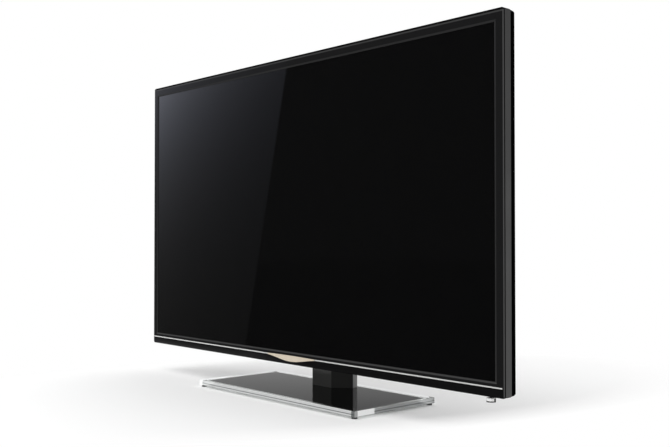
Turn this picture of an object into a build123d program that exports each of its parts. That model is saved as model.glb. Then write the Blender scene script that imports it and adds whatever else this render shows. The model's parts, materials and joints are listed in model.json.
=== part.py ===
from build123d import *
import os

# A flat screen television, 42 inch class, on a thick clear glass base.
# Millimetres, +Z up. The screen faces -Y and +X is the viewer's right. The origin is the
# centre of the glass base, on the surface that the rubber feet stand on.
# A "depth" is counted backwards from the front face of the bezel.

os.makedirs("parts", exist_ok=True)

# Clearances
GAP = 0.3
RUNNING = 0.05
OVERRUN = 2.0

# Screen opening and bezel
OPENING_W = 933.6
OPENING_H = 525.2
BEZEL_SIDE = 17.0
BEZEL_TOP = 19.5
BEZEL_BOTTOM = 23.3
BEZEL_T = 2.4
BEZEL_EDGE_D = 3.4
BEZEL_EDGE_CHAMFER = 1.0
FRAME_CORNER_R = 4.0
LIP_T = 1.2
LIP_W = 3.0
LIP_SLOPE_D = 0.9
SKIRT_T = 1.8
BAND_T = 1.3
BAND_D = 13.9

# Bright trim and accent on the bezel's lower strip
TRIM_LIFT = 12.45
TRIM_H = 4.1
TRIM_T = 1.2
TRIM_GROOVE_D = 0.6
TRIM_END_INSET = 3.8
ACCENT_W = 133.4
ACCENT_DROP = 7.05
ACCENT_CROWN = 0.75
ACCENT_T = 1.4

# Screen stack
CELL_MARGIN = 7.0
CELL_T = 1.8
LEDGE_T = 1.4
LEDGE_REVEAL = 1.5
MIDDLE_T = 1.7
MIDDLE_D = 10.4
FILM_T = 0.3
FILM_INSET = 1.0
DIFFUSER_T = 1.5
REFLECTOR_T = 0.5
REFLECTOR_FLANGE = 12.0
REFLECTOR_SLOPE = 22.0
LIGHT_BOX_D = 19.9
CHASSIS_T = 1.0
BEAD_H = 14.0
BEAD_D = 1.5
BEAD_DROP = 169.6
BEAD_END_INSET = 60.0

# Backlight
BAR_ROWS = 4
BAR_ROW_INSET = 70.6
BAR_END_INSET = 41.8
BAR_H = 12.0
BAR_T = 1.0
LENSES_PER_BAR = 7
LENS_END_INSET = 29.0
LENS_R = 8.0
LENS_TOP_R = 4.5
LENS_H = 5.5
LENS_HOLE_CLEARANCE = 1.0

# Rear cover
COVER_T = 2.2
RIM_D = 14.2
RIM_INSET = 5.8
RIM_R = 6.0
SHOULDER_D = 6.2
SHOULDER_INSET = 10.2
SHOULDER_R = 12.0
BULGE_W = 660.0
BULGE_H = 380.0
BULGE_D = 37.2
BULGE_LIFT = 20.0
BULGE_R = 18.0
BULGE_DRAFT = 8.0
NOTCH_W = 45.0
NOTCH_LIFT = 150.0
PORT_NOTCH_H = 150.0
MAINS_NOTCH_H = 56.0
VENT_COUNT = 30
VENT_END_INSET = 69.0
VENT_W = 5.0
VENT_H = 22.0
VENT_TOP_INSET = 6.0
GRILLE_COUNT = 12
GRILLE_PITCH = 9.0
GRILLE_W = 4.0
GRILLE_L = 18.0

# Cover screws
COVER_SCREW_INSET = 7.0
COVER_SCREW_END_INSET = 53.8
COVER_SCREW_SHARES = (-1.0, -0.36, 0.36, 0.85)
COVER_SCREW_R = 1.5
COVER_SCREW_L = 16.0
COVER_HEAD_R = 2.7
COVER_HEAD_H = 2.0
COVER_BOSS_R = 3.2
COVER_WELL_R = 3.3
COVER_WELL_WALL = 1.2
COVER_SEAT_D = 3.0

# Wall mount standoffs
WALL_PITCH = 200.0
WALL_LIFT = 250.0
WALL_THREAD_R = 3.0
WALL_THREAD_L = 20.0
STANDOFF_R = 6.5
STANDOFF_RECESS = 1.0
STANDOFF_HOLE_CLEARANCE = 0.6

# Circuit boards
PCB_T = 1.6
BOARD_LIFT = 10.0
BOARD_W = 168.0
BOARD_H = 188.0
BOARD_LOW = 141.0
BOARD_PORT_GAP = 1.5
POST_R = 3.0
POST_INSET = 6.0
BOARD_SCREW_R = 1.5
BOARD_SCREW_L = 7.0
BOARD_HEAD_R = 2.8
BOARD_HEAD_H = 1.8
CHIP_W = 27.0
CHIP_T = 2.2
CHIP_RISE = 35.0
MEMORY_W = 13.0
MEMORY_T = 1.2
HEATSINK_W = 38.0
HEATSINK_BASE_T = 2.5
HEATSINK_FIN_T = 1.6
HEATSINK_FIN_D = 12.0
HEATSINK_FINS = 7
TRANSFORMER_W = 42.0
TRANSFORMER_H = 36.0
TRANSFORMER_D = 20.0
CAPACITOR_R = 9.0
CAPACITOR_L = 24.0
CAPACITOR_PITCH = 21.0
INSULATOR_T = 0.5
TCON_W = 220.0
TCON_H = 50.0
TCON_X = -60.0
TCON_DROP = 80.5
TCON_POST = 1.0
TCON_PCB_T = 1.2
TCON_CHIP_W = 20.0
TCON_CHIP_T = 1.4
SOURCE_W = 300.0
SOURCE_H = 18.0
SOURCE_X = 180.0
SOURCE_DROP = 13.0
SOURCE_T = 1.0
TAB_W = 24.0
TAB_T = 0.3
TAB_SHARES = (-0.33, 0.0, 0.33)

# Ribbons and leads held inside
RIBBON_T = 0.4
RIBBON_W = 24.0
SOURCE_RIBBON_W = 16.0
SOURCE_RIBBON_SHARES = (0.18, 0.92)
LVDS_INSET = 30.0
HARNESS_W = 18.0
HARNESS_T = 3.0
HARNESS_PLUG_H = 8.0
LEAD_R = 1.4
LEAD_BEND_R = 14.0

# Sockets
PORT_PLATE_T = 1.0
PORT_PLATE_D = 18.0
PORT_APERTURE_D = 15.0
PORT_APERTURE_MARGIN = 9.0
SOCKET_PROUD = 1.5
SOCKET_L = 12.0
SOCKET_WALL = 0.6
HDMI_W = 15.0
HDMI_D = 6.0
HDMI_TONGUE_W = 11.0
HDMI_TONGUE_D = 1.4
HDMI_SHARES = (0.16, 0.29, 0.42)
USB_W = 13.2
USB_D = 6.8
USB_TONGUE_W = 10.5
USB_TONGUE_D = 1.9
USB_SHARES = (0.54, 0.65)
LAN_W = 15.9
LAN_D = 13.2
LAN_WALL = 2.0
LAN_SHARE = 0.77
HEADPHONE_W = 8.0
HEADPHONE_R = 1.8
HEADPHONE_SHARE = 0.04
AERIAL_R = 5.6
AERIAL_BORE_R = 4.2
AERIAL_PIN_R = 1.3
AERIAL_SHARE = 0.91
MAINS_W = 30.0
MAINS_D = 18.0
MAINS_L = 16.0
MAINS_MOUTH_W = 17.0
MAINS_MOUTH_D = 8.8
MAINS_MOUTH_L = 12.0
MAINS_PIN_R = 1.2
MAINS_PIN_PITCH = 8.6
MAINS_PIN_L = 9.5
MAINS_FLANGE = 2.0

# Speakers
SPEAKER_W = 150.0
SPEAKER_H = 34.0
SPEAKER_D = 36.0
SPEAKER_INSET = 95.0
SPEAKER_LIFT = 34.0
SPEAKER_EAR_W = 14.0
SPEAKER_EAR_T = 3.0
SPEAKER_EAR_H = 16.0
SPEAKER_CORNER_R = 4.0
DRIVER_W = 70.0
DRIVER_D = 28.0
DRIVER_RECESS = 2.0
DRIVER_CONE_R = 9.0
GROMMET_R = 5.0
GROMMET_HOLE_R = 1.6
GROMMET_T = 2.0

# Infrared receiver board
IR_BOARD_W = 40.0
IR_BOARD_H = 9.0
IR_LENS_R = 2.5
IR_LENS_L = 1.6

# Joystick under the right corner
STICK_INSET = 32.2
STICK_DEPTH = 10.6
CAP_R = 7.0
CAP_H = 6.2
CAP_DROP = 2.8
CAP_EDGE_R = 1.4
STEM_R = 2.0
STEM_TOP = 1.6
STEM_SEAT = 3.0
CROSS_PIN_R = 0.6
CROSS_PIN_L = 0.9
TRUNNION_R = 0.7
TRUNNION_L = 1.1
PRESS_TRAVEL = 0.8
PIVOT_LIFT = 7.6
SOCKET_HOLE_R = 4.7
HOUSING_W = 16.4
HOUSING_D = 12.4
HOUSING_WALL = 1.2
HOUSING_ROOF = 1.0
PLUNGER_H = 6.2
PLUNGER_WALL_X = 1.4
PLUNGER_WALL_Y = 1.2
CRADLE_H = 2.4
CRADLE_GAP_X = 0.4
CRADLE_GAP_Y = 0.4
CRADLE_WALL_X = 1.5
CRADLE_WALL_Y = 0.8
STICK_BOARD_W = 30.0
STICK_BOARD_D = 12.4
STICK_BOARD_T = 1.0
STICK_POST_R = 1.5
STICK_POST_SPREAD = 24.0

# Glass base
BASE_W = 447.6
BASE_D = 196.0
BASE_T = 10.0
BASE_CORNER_R = 3.0
BASE_CHAMFER = 0.8
NECK_SETBACK = 26.7
FRAME_CLEARANCE = 47.9
PRINT_BORDER = 14.0
PRINT_T = 0.2
FOOT_R = 5.0
FOOT_H = 3.2
FOOT_INSET = 7.5
FOOT_CHAMFER = 0.5

# Neck
NECK_FACE_W = 53.4
NECK_W = 112.0
NECK_FACET_D = 28.5
NECK_SIDE_D = 14.0
NECK_T = 2.0
NECK_TOP_LIFT = 134.0
NECK_BACK_R = 5.0
STEEL_T = 2.5
BRACKET_W = 50.0
BRACKET_D = 30.0
PAD_W = 44.0
PAD_H = 84.0
PAD_LIFT = 38.0
NECK_BOLT_X = 28.0
NECK_BOLT_Z = 60.0
NECK_BOLT_R = 2.5
NECK_BOLT_L = 13.0
NECK_HEAD_R = 4.5
NECK_HEAD_H = 3.0
NECK_HOLE_CLEARANCE = 0.4
FLANGE_W = 80.0
FLANGE_D = 21.0
FLANGE_T = 3.0
FLANGE_BACK_GAP = 2.0
FOOT_GASKET_T = 0.8
CLAMP_W = 104.0
CLAMP_D = 34.0
CLAMP_T = 2.0
CLAMP_R = 4.0
BASE_SCREW_X = 68.0
BASE_SCREW_Y = 11.0
BASE_SCREW_R = 2.5
BASE_HEAD_R = 4.5
BASE_SCREW_UP = 2.0
GLASS_HOLE_CLEARANCE = 1.5

# Stand bracket inside the cover
HAT_W = 150.0
HAT_H = 100.0
HAT_LIFT = 32.0
HAT_T = 2.0
HAT_FLANGE = 16.0

# Heights
BASE_TOP = FOOT_H + BASE_T
FRAME_BOTTOM = BASE_TOP + FRAME_CLEARANCE
FRAME_W = OPENING_W + 2 * BEZEL_SIDE
FRAME_H = OPENING_H + BEZEL_TOP + BEZEL_BOTTOM
FRAME_Z = FRAME_BOTTOM + FRAME_H / 2
OPENING_Z = FRAME_BOTTOM + BEZEL_BOTTOM + OPENING_H / 2

# Depths of the screen stack, front to back
CELL_DEPTH = LIP_T + GAP
MIDDLE_DEPTH = CELL_DEPTH + CELL_T + GAP
PRISM_DEPTH = MIDDLE_DEPTH + LEDGE_T + GAP
DIFFUSER_FILM_DEPTH = PRISM_DEPTH + FILM_T + GAP
DIFFUSER_DEPTH = DIFFUSER_FILM_DEPTH + FILM_T + GAP
REFLECTOR_DEPTH = DIFFUSER_DEPTH + DIFFUSER_T + GAP
CHASSIS_DEPTH = REFLECTOR_DEPTH + REFLECTOR_T + GAP
CHASSIS_FLOOR = CHASSIS_DEPTH + LIGHT_BOX_D
CHASSIS_BACK = CHASSIS_FLOOR + CHASSIS_T
REFLECTOR_FLOOR = CHASSIS_FLOOR - BAR_T - GAP

# Widths and heights of the screen stack
CELL_W = OPENING_W + 2 * CELL_MARGIN
CELL_H = OPENING_H + 2 * CELL_MARGIN
MIDDLE_IN_W = CELL_W + 2 * GAP
MIDDLE_IN_H = CELL_H + 2 * GAP
MIDDLE_W = MIDDLE_IN_W + 2 * MIDDLE_T
MIDDLE_H = MIDDLE_IN_H + 2 * MIDDLE_T
FILM_W = CELL_W - 2 * FILM_INSET
FILM_H = CELL_H - 2 * FILM_INSET
SKIRT_INSET = BAND_T + GAP
SKIRT_IN = SKIRT_INSET + SKIRT_T
BAR_L = OPENING_W - 2 * BAR_END_INSET
BAR_PITCH = (OPENING_H - 2 * BAR_ROW_INSET) / (BAR_ROWS - 1)
LENS_PITCH = (BAR_L - 2 * LENS_END_INSET) / (LENSES_PER_BAR - 1)
COVER_SCREW_SPREAD = FRAME_W / 2 - COVER_SCREW_END_INSET
STICK_X = FRAME_W / 2 - STICK_INSET

# Depths of the cover
BAND_DEPTH = BEZEL_EDGE_D + GAP
COVER_DEPTH = BAND_DEPTH + BAND_D
RIM_END = COVER_DEPTH + RIM_D
FLAT_DEPTH = RIM_END + SHOULDER_D
BULGE_DEPTH = FLAT_DEPTH + BULGE_D
BULGE_Z = FRAME_BOTTOM + BULGE_LIFT + BULGE_H / 2
NOTCH_WALL_X = BULGE_W / 2 - NOTCH_W
SPEAKER_X = BULGE_W / 2 - SPEAKER_INSET
VENT_PITCH = (BULGE_W - 2 * VENT_END_INSET) / (VENT_COUNT - 1)
NOTCH_BOTTOM = FRAME_BOTTOM + NOTCH_LIFT
COVER_SEAT = COVER_DEPTH + COVER_SEAT_D
NECK_DEPTH = BULGE_DEPTH + GAP
BRACKET_DEPTH = NECK_DEPTH + STEEL_T
FRONT_Y = BASE_D / 2 - NECK_SETBACK - NECK_SIDE_D - NECK_FACET_D - NECK_DEPTH

# Boards
BOARD_DEPTH = CHASSIS_BACK + BOARD_LIFT
BOARD_BACK = BOARD_DEPTH + PCB_T
BOARD_X = NOTCH_WALL_X - COVER_T - PORT_PLATE_T - BOARD_PORT_GAP - BOARD_W / 2
BOARD_Z = FRAME_BOTTOM + BOARD_LOW + BOARD_H / 2
TCON_DEPTH = CHASSIS_BACK + TCON_POST
TCON_Z = OPENING_Z + CELL_H / 2 - TCON_DROP - TCON_H / 2
SOURCE_DEPTH = CHASSIS_BACK + GAP
SOURCE_Z = OPENING_Z + CELL_H / 2 - SOURCE_DROP - SOURCE_H / 2
STICK_Y = FRONT_Y + STICK_DEPTH
PIVOT_Z = FRAME_BOTTOM + PIVOT_LIFT


def behind(depth):
    """A plane parallel to the screen, with local X across and local Y up."""
    return Plane.XZ.offset(-(FRONT_Y + depth))


def upright(depth, thickness, width, height, x, z, radius=0, mode=Mode.ADD):
    """A slab parallel to the screen, from one depth backwards."""
    with BuildSketch(behind(depth)) as outline:
        with Locations((x, z)):
            if radius:
                RectangleRounded(width, height, radius)
            else:
                Rectangle(width, height)
    extrude(outline.sketch, amount=-thickness, mode=mode)


def rods(depth, length, radius, places, mode=Mode.ADD):
    """Round bars square to the screen, at a list of (x, z) places."""
    with BuildSketch(behind(depth)) as outline:
        with Locations(*places):
            Circle(radius)
    extrude(outline.sketch, amount=-length, mode=mode)


def frustum(depth, front, length, back, mode=Mode.ADD):
    """A tapering slab between two rounded rectangles, each (width, height, z, radius)."""
    outlines = []
    for place, (width, height, z, radius) in ((depth, front), (depth + length, back)):
        with BuildSketch(behind(place)) as outline:
            with Locations((0, z)):
                RectangleRounded(width, height, radius)
        outlines.append(outline.sketch)
    loft(outlines, mode=mode)


def column(bottom, height, radius, places, mode=Mode.ADD):
    """Upright round bars at a list of (x, y) places."""
    with BuildSketch(Plane.XY.offset(bottom)) as outline:
        with Locations(*places):
            Circle(radius)
    extrude(outline.sketch, amount=height, mode=mode)


def brick(bottom, height, width, length, x, y, radius=0, mode=Mode.ADD):
    """A block with a level top, centred on (x, y)."""
    with BuildSketch(Plane.XY.offset(bottom)) as outline:
        with Locations((x, y)):
            if radius:
                RectangleRounded(width, length, radius)
            else:
                Rectangle(width, length)
    extrude(outline.sketch, amount=height, mode=mode)


def corners(x, z, width, height):
    """The four corners of a rectangle."""
    return [(x + sx * width / 2, z + sz * height / 2) for sx in (-1, 1) for sz in (-1, 1)]


# Cover screws stand in the frame's top and bottom strips
COVER_SCREWS = [
    (share * COVER_SCREW_SPREAD, z)
    for share in COVER_SCREW_SHARES
    for z in (FRAME_BOTTOM + COVER_SCREW_INSET, FRAME_BOTTOM + FRAME_H - COVER_SCREW_INSET)
]
STICK_POSTS = [(STICK_X + side * STICK_POST_SPREAD / 2, STICK_Y) for side in (-1, 1)]
STICK_BOARD_Z = FRAME_BOTTOM + SKIRT_IN + GAP + HOUSING_ROOF + PLUNGER_H + PRESS_TRAVEL + 3 * GAP

# Front bezel: gloss face, sloped lip at the opening, skirt that the side band wraps
with BuildPart() as front_bezel:
    upright(0, BEZEL_EDGE_D, FRAME_W, FRAME_H, 0, FRAME_Z, FRAME_CORNER_R)
    outer_edges = front_bezel.faces().sort_by(Axis.Y)[0].outer_wire().edges()
    chamfer(outer_edges, BEZEL_EDGE_CHAMFER)
    upright(BEZEL_EDGE_D, BAND_D, FRAME_W - 2 * SKIRT_INSET, FRAME_H - 2 * SKIRT_INSET, 0,
            FRAME_Z, FRAME_CORNER_R - SKIRT_INSET)
    upright(BEZEL_T, BEZEL_EDGE_D + BAND_D, FRAME_W - 2 * SKIRT_IN, FRAME_H - 2 * SKIRT_IN,
            0, FRAME_Z, mode=Mode.SUBTRACT)
    rods(LIP_T, BEZEL_EDGE_D + BAND_D - LIP_T, COVER_BOSS_R, COVER_SCREWS)
    upright(LIP_T, BEZEL_T, CELL_W + 2 * GAP, CELL_H + 2 * GAP, 0, OPENING_Z,
            mode=Mode.SUBTRACT)
    upright(-OVERRUN, BEZEL_T + 2 * OVERRUN, OPENING_W, OPENING_H, 0, OPENING_Z,
            mode=Mode.SUBTRACT)
    frustum(
        -LIP_SLOPE_D,
        (OPENING_W + 4 * LIP_W, OPENING_H + 4 * LIP_W, OPENING_Z, 2 * LIP_W),
        2 * LIP_SLOPE_D,
        (OPENING_W, OPENING_H, OPENING_Z, GAP),
        Mode.SUBTRACT,
    )
    upright(0, TRIM_GROOVE_D, FRAME_W - 2 * TRIM_END_INSET + 2 * RUNNING, TRIM_H + 2 * RUNNING,
            0, FRAME_BOTTOM + TRIM_LIFT + TRIM_H / 2, mode=Mode.SUBTRACT)
    rods(BEZEL_T, BEZEL_EDGE_D + BAND_D, COVER_SCREW_R + RUNNING, COVER_SCREWS,
         Mode.SUBTRACT)
    column(FRAME_BOTTOM + SKIRT_IN, STICK_BOARD_Z - FRAME_BOTTOM - SKIRT_IN, STICK_POST_R,
           STICK_POSTS)
    column(FRAME_BOTTOM + BAND_T, SKIRT_IN, SOCKET_HOLE_R + GAP, [(STICK_X, STICK_Y)],
           Mode.SUBTRACT)
front_bezel.part.label = "front_bezel"
export_step(front_bezel.part, "parts/front_bezel.step")

# Side band: satin frame round all four edges, with the joystick's hole
with BuildPart() as side_band:
    upright(BAND_DEPTH, BAND_D, FRAME_W, FRAME_H, 0, FRAME_Z, FRAME_CORNER_R)
    upright(BAND_DEPTH, BAND_D, FRAME_W - 2 * BAND_T, FRAME_H - 2 * BAND_T, 0, FRAME_Z,
            FRAME_CORNER_R - BAND_T, Mode.SUBTRACT)
    column(FRAME_BOTTOM - OVERRUN, BAND_T + 2 * OVERRUN, SOCKET_HOLE_R,
           [(STICK_X, STICK_Y)], Mode.SUBTRACT)
side_band.part.label = "side_band"
export_step(side_band.part, "parts/side_band.step")

# Two bright trim strips, either side of the accent
TRIM_END = FRAME_W / 2 - TRIM_END_INSET
TRIM_START = ACCENT_W / 2 + GAP
for side, trim_name in ((-1, "trim_strip_left"), (1, "trim_strip_right")):
    with BuildPart() as trim_strip:
        upright(TRIM_GROOVE_D - TRIM_T, TRIM_T, TRIM_END - TRIM_START, TRIM_H,
                side * (TRIM_START + TRIM_END) / 2, FRAME_BOTTOM + TRIM_LIFT + TRIM_H / 2)
        front_rims = trim_strip.faces().sort_by(Axis.Y)[0].edges().filter_by(Axis.X)
        fillet(front_rims, (TRIM_T - TRIM_GROOVE_D) / 2)
    trim_strip.part.label = trim_name
    export_step(trim_strip.part, f"parts/{trim_name}.step")

# Accent: a shallow crescent whose tails run out level with the trim
ACCENT_LOW = FRAME_BOTTOM + TRIM_LIFT
ACCENT_HIGH = ACCENT_LOW + TRIM_H
with BuildPart() as accent_crescent:
    with BuildSketch(behind(-ACCENT_T)):
        with BuildLine():
            ThreePointArc(
                (-ACCENT_W / 2, ACCENT_HIGH),
                (0, ACCENT_HIGH + ACCENT_CROWN),
                (ACCENT_W / 2, ACCENT_HIGH),
            )
            Line((ACCENT_W / 2, ACCENT_HIGH), (ACCENT_W / 2, ACCENT_LOW))
            Spline(
                (ACCENT_W / 2, ACCENT_LOW),
                (0, ACCENT_LOW - ACCENT_DROP),
                (-ACCENT_W / 2, ACCENT_LOW),
                tangents=((-1, 0), (-1, 0)),
            )
            Line((-ACCENT_W / 2, ACCENT_LOW), (-ACCENT_W / 2, ACCENT_HIGH))
        make_face()
    extrude(amount=-ACCENT_T)
accent_crescent.part.label = "accent_crescent"
export_step(accent_crescent.part, "parts/accent_crescent.step")

# Liquid crystal cell: two bonded glasses
with BuildPart() as lcd_cell:
    upright(CELL_DEPTH, CELL_T, CELL_W, CELL_H, 0, OPENING_Z)
lcd_cell.part.label = "lcd_cell"
export_step(lcd_cell.part, "parts/lcd_cell.step")

# Foam gasket between the bezel's lip and the cell
with BuildPart() as cell_gasket:
    upright(LIP_T, GAP, CELL_W, CELL_H, 0, OPENING_Z)
    upright(LIP_T, GAP, OPENING_W + 2 * LIP_W, OPENING_H + 2 * LIP_W, 0, OPENING_Z,
            mode=Mode.SUBTRACT)
cell_gasket.part.label = "cell_gasket"
export_step(cell_gasket.part, "parts/cell_gasket.step")

# Middle frame: holds the cell on a ledge and clips round the chassis
with BuildPart() as middle_frame:
    upright(MIDDLE_DEPTH, MIDDLE_D, MIDDLE_W, MIDDLE_H, 0, OPENING_Z)
    upright(MIDDLE_DEPTH + LEDGE_T, MIDDLE_D, MIDDLE_IN_W, MIDDLE_IN_H, 0, OPENING_Z,
            mode=Mode.SUBTRACT)
    upright(MIDDLE_DEPTH, LEDGE_T, OPENING_W + 2 * LEDGE_REVEAL,
            OPENING_H + 2 * LEDGE_REVEAL, 0, OPENING_Z, mode=Mode.SUBTRACT)
middle_frame.part.label = "middle_frame"
export_step(middle_frame.part, "parts/middle_frame.step")

# Optical films and the diffuser plate
OPTICS = (
    ("prism_film", PRISM_DEPTH, FILM_T),
    ("diffuser_film", DIFFUSER_FILM_DEPTH, FILM_T),
    ("diffuser_plate", DIFFUSER_DEPTH, DIFFUSER_T),
)
for sheet_name, sheet_depth, sheet_t in OPTICS:
    with BuildPart() as optic_sheet:
        upright(sheet_depth, sheet_t, FILM_W, FILM_H, 0, OPENING_Z)
    optic_sheet.part.label = sheet_name
    export_step(optic_sheet.part, f"parts/{sheet_name}.step")

# Reflector: thermoformed white tray with sloped sides and a hole at each lens
REFLECTOR_W = CELL_W - 2 * GAP
REFLECTOR_H = CELL_H - 2 * GAP
TRAY_W = REFLECTOR_W - 2 * REFLECTOR_FLANGE
TRAY_H = REFLECTOR_H - 2 * REFLECTOR_FLANGE
TRAY_D = REFLECTOR_FLOOR - REFLECTOR_DEPTH
TRAY_R = REFLECTOR_FLANGE
with BuildPart() as reflector_tray:
    upright(REFLECTOR_DEPTH, REFLECTOR_T, REFLECTOR_W, REFLECTOR_H, 0, OPENING_Z)
    for shrink, shift, tray_mode in ((0, 0, Mode.ADD), (REFLECTOR_T, REFLECTOR_T, Mode.SUBTRACT)):
        frustum(
            REFLECTOR_DEPTH - shift,
            (TRAY_W - 2 * shrink, TRAY_H - 2 * shrink, OPENING_Z, TRAY_R),
            TRAY_D,
            (
                TRAY_W - 2 * REFLECTOR_SLOPE - 2 * shrink,
                TRAY_H - 2 * REFLECTOR_SLOPE - 2 * shrink,
                OPENING_Z,
                TRAY_R,
            ),
            tray_mode,
        )
    with BuildSketch(behind(REFLECTOR_FLOOR - REFLECTOR_T - GAP)):
        with Locations((0, OPENING_Z)):
            with GridLocations(LENS_PITCH, BAR_PITCH, LENSES_PER_BAR, BAR_ROWS):
                Circle(LENS_R + LENS_HOLE_CLEARANCE)
    extrude(amount=-(REFLECTOR_T + 2 * GAP), mode=Mode.SUBTRACT)
reflector_tray.part.label = "reflector_tray"
export_step(reflector_tray.part, "parts/reflector_tray.step")

# Light bars on the chassis floor, and their lenses
with BuildPart() as led_bars:
    with BuildSketch(behind(CHASSIS_FLOOR - BAR_T)):
        with Locations((0, OPENING_Z)):
            with GridLocations(BAR_L, BAR_PITCH, 1, BAR_ROWS):
                Rectangle(BAR_L, BAR_H)
    extrude(amount=-BAR_T)
led_bars.part.label = "led_bars"
export_step(led_bars.part, "parts/led_bars.step")

with BuildPart() as led_lenses:
    for lens_depth, lens_r in (
        (CHASSIS_FLOOR - BAR_T, LENS_R),
        (CHASSIS_FLOOR - BAR_T - LENS_H, LENS_TOP_R),
    ):
        with BuildSketch(behind(lens_depth)):
            with Locations((-LENS_PITCH * (LENSES_PER_BAR - 1) / 2,
                            OPENING_Z - BAR_PITCH * (BAR_ROWS - 1) / 2)):
                Circle(lens_r)
    loft()
    first_lens = led_lenses.part
    for column_no in range(LENSES_PER_BAR):
        for row_no in range(BAR_ROWS):
            if column_no + row_no > 0:
                add(first_lens.moved(Location((column_no * LENS_PITCH, 0, row_no * BAR_PITCH))))
led_lenses.part.label = "led_lenses"
export_step(led_lenses.part, "parts/led_lenses.step")

# Backlight chassis: steel pan with pressed beads and board posts
BOARD_POSTS = [
    (side * BOARD_X + dx, dz)
    for side in (-1, 1)
    for dx, dz in corners(0, BOARD_Z, BOARD_W - 2 * POST_INSET, BOARD_H - 2 * POST_INSET)
]
TCON_POSTS = corners(TCON_X, TCON_Z, TCON_W - 2 * POST_INSET, 0)[::2]
with BuildPart() as backlight_chassis:
    upright(CHASSIS_DEPTH, LIGHT_BOX_D + CHASSIS_T, CELL_W, CELL_H, 0, OPENING_Z)
    upright(CHASSIS_DEPTH, LIGHT_BOX_D, CELL_W - 2 * CHASSIS_T, CELL_H - 2 * CHASSIS_T, 0,
            OPENING_Z, mode=Mode.SUBTRACT)
    for sign in (-1, 1):
        bead_z = OPENING_Z + sign * (CELL_H / 2 - BEAD_DROP)
        bead_w = CELL_W - 2 * BEAD_END_INSET
        upright(CHASSIS_BACK, BEAD_D, bead_w, BEAD_H, 0, bead_z)
        upright(CHASSIS_FLOOR, BEAD_D, bead_w - 2 * CHASSIS_T, BEAD_H - 2 * CHASSIS_T, 0,
                bead_z, mode=Mode.SUBTRACT)
    rods(CHASSIS_BACK, BOARD_LIFT, POST_R, BOARD_POSTS)
    rods(CHASSIS_BACK, TCON_POST, POST_R, TCON_POSTS)
    rods(CHASSIS_BACK + BOARD_LIFT - BOARD_SCREW_L + PCB_T, BOARD_SCREW_L,
         BOARD_SCREW_R + RUNNING, BOARD_POSTS, Mode.SUBTRACT)
backlight_chassis.part.label = "backlight_chassis"
export_step(backlight_chassis.part, "parts/backlight_chassis.step")

# Column driver boards behind the top edge, with the film tabs that join the cell
with BuildPart() as source_boards:
    for side in (-1, 1):
        upright(SOURCE_DEPTH, SOURCE_T, SOURCE_W, SOURCE_H, side * SOURCE_X, SOURCE_Z)
source_boards.part.label = "source_boards"
export_step(source_boards.part, "parts/source_boards.step")

CELL_TOP = OPENING_Z + CELL_H / 2
TAB_Z = CELL_TOP + GAP + MIDDLE_T + GAP + TAB_T / 2
TAB_FRONT_Y = FRONT_Y + BEZEL_T + GAP + TAB_T / 2
TAB_BACK_Y = FRONT_Y + SOURCE_DEPTH + SOURCE_T + TAB_T / 2
with BuildPart() as cell_flex_tabs:
    for side in (-1, 1):
        for share in TAB_SHARES:
            tab_x = side * SOURCE_X + share * SOURCE_W
            with BuildSketch(Plane.YZ.offset(tab_x - TAB_W / 2)):
                with BuildLine():
                    Polyline(
                        (TAB_FRONT_Y, CELL_TOP),
                        (TAB_FRONT_Y, TAB_Z),
                        (FRONT_Y + MIDDLE_DEPTH + MIDDLE_D, TAB_Z),
                        (TAB_BACK_Y, CELL_TOP + GAP + TAB_T / 2),
                        (TAB_BACK_Y, SOURCE_Z),
                    )
                trace(line_width=TAB_T)
            extrude(amount=TAB_W)
cell_flex_tabs.part.label = "cell_flex_tabs"
export_step(cell_flex_tabs.part, "parts/cell_flex_tabs.step")

# Timing board and its ribbons up to the driver boards
with BuildPart() as timing_board:
    upright(TCON_DEPTH, TCON_PCB_T, TCON_W, TCON_H, TCON_X, TCON_Z)
    upright(TCON_DEPTH + TCON_PCB_T, TCON_CHIP_T, TCON_CHIP_W, TCON_CHIP_W, TCON_X, TCON_Z)
timing_board.part.label = "timing_board"
export_step(timing_board.part, "parts/timing_board.step")

RIBBON_DEPTH = TCON_DEPTH + TCON_PCB_T
SOURCE_RIBBON_TOP = SOURCE_Z
TCON_TOP = TCON_Z + TCON_H / 2
with BuildPart() as source_ribbons:
    for share in SOURCE_RIBBON_SHARES:
        ribbon_x = TCON_X + (share - 1 / 2) * TCON_W
        upright(RIBBON_DEPTH, RIBBON_T, SOURCE_RIBBON_W, SOURCE_RIBBON_TOP - TCON_TOP + TCON_H / 5,
                ribbon_x, (SOURCE_RIBBON_TOP + TCON_TOP - TCON_H / 5) / 2)
source_ribbons.part.label = "source_ribbons"
export_step(source_ribbons.part, "parts/source_ribbons.step")

# Main board with its processor, memory and connectors
MAIN_X = -BOARD_X
CHIP_Z = BOARD_Z + CHIP_RISE
with BuildPart() as main_board:
    upright(BOARD_DEPTH, PCB_T, BOARD_W, BOARD_H, MAIN_X, BOARD_Z)
    upright(BOARD_BACK, CHIP_T, CHIP_W, CHIP_W, MAIN_X, CHIP_Z)
    for sign in (-1, 1):
        upright(BOARD_BACK, MEMORY_T, MEMORY_W, MEMORY_W, MAIN_X + sign * HEATSINK_W, CHIP_Z)
    rods(BOARD_DEPTH, PCB_T, BOARD_SCREW_R + RUNNING,
         [place for place in BOARD_POSTS if place[0] < 0], Mode.SUBTRACT)
main_board.part.label = "main_board"
export_step(main_board.part, "parts/main_board.step")

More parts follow.
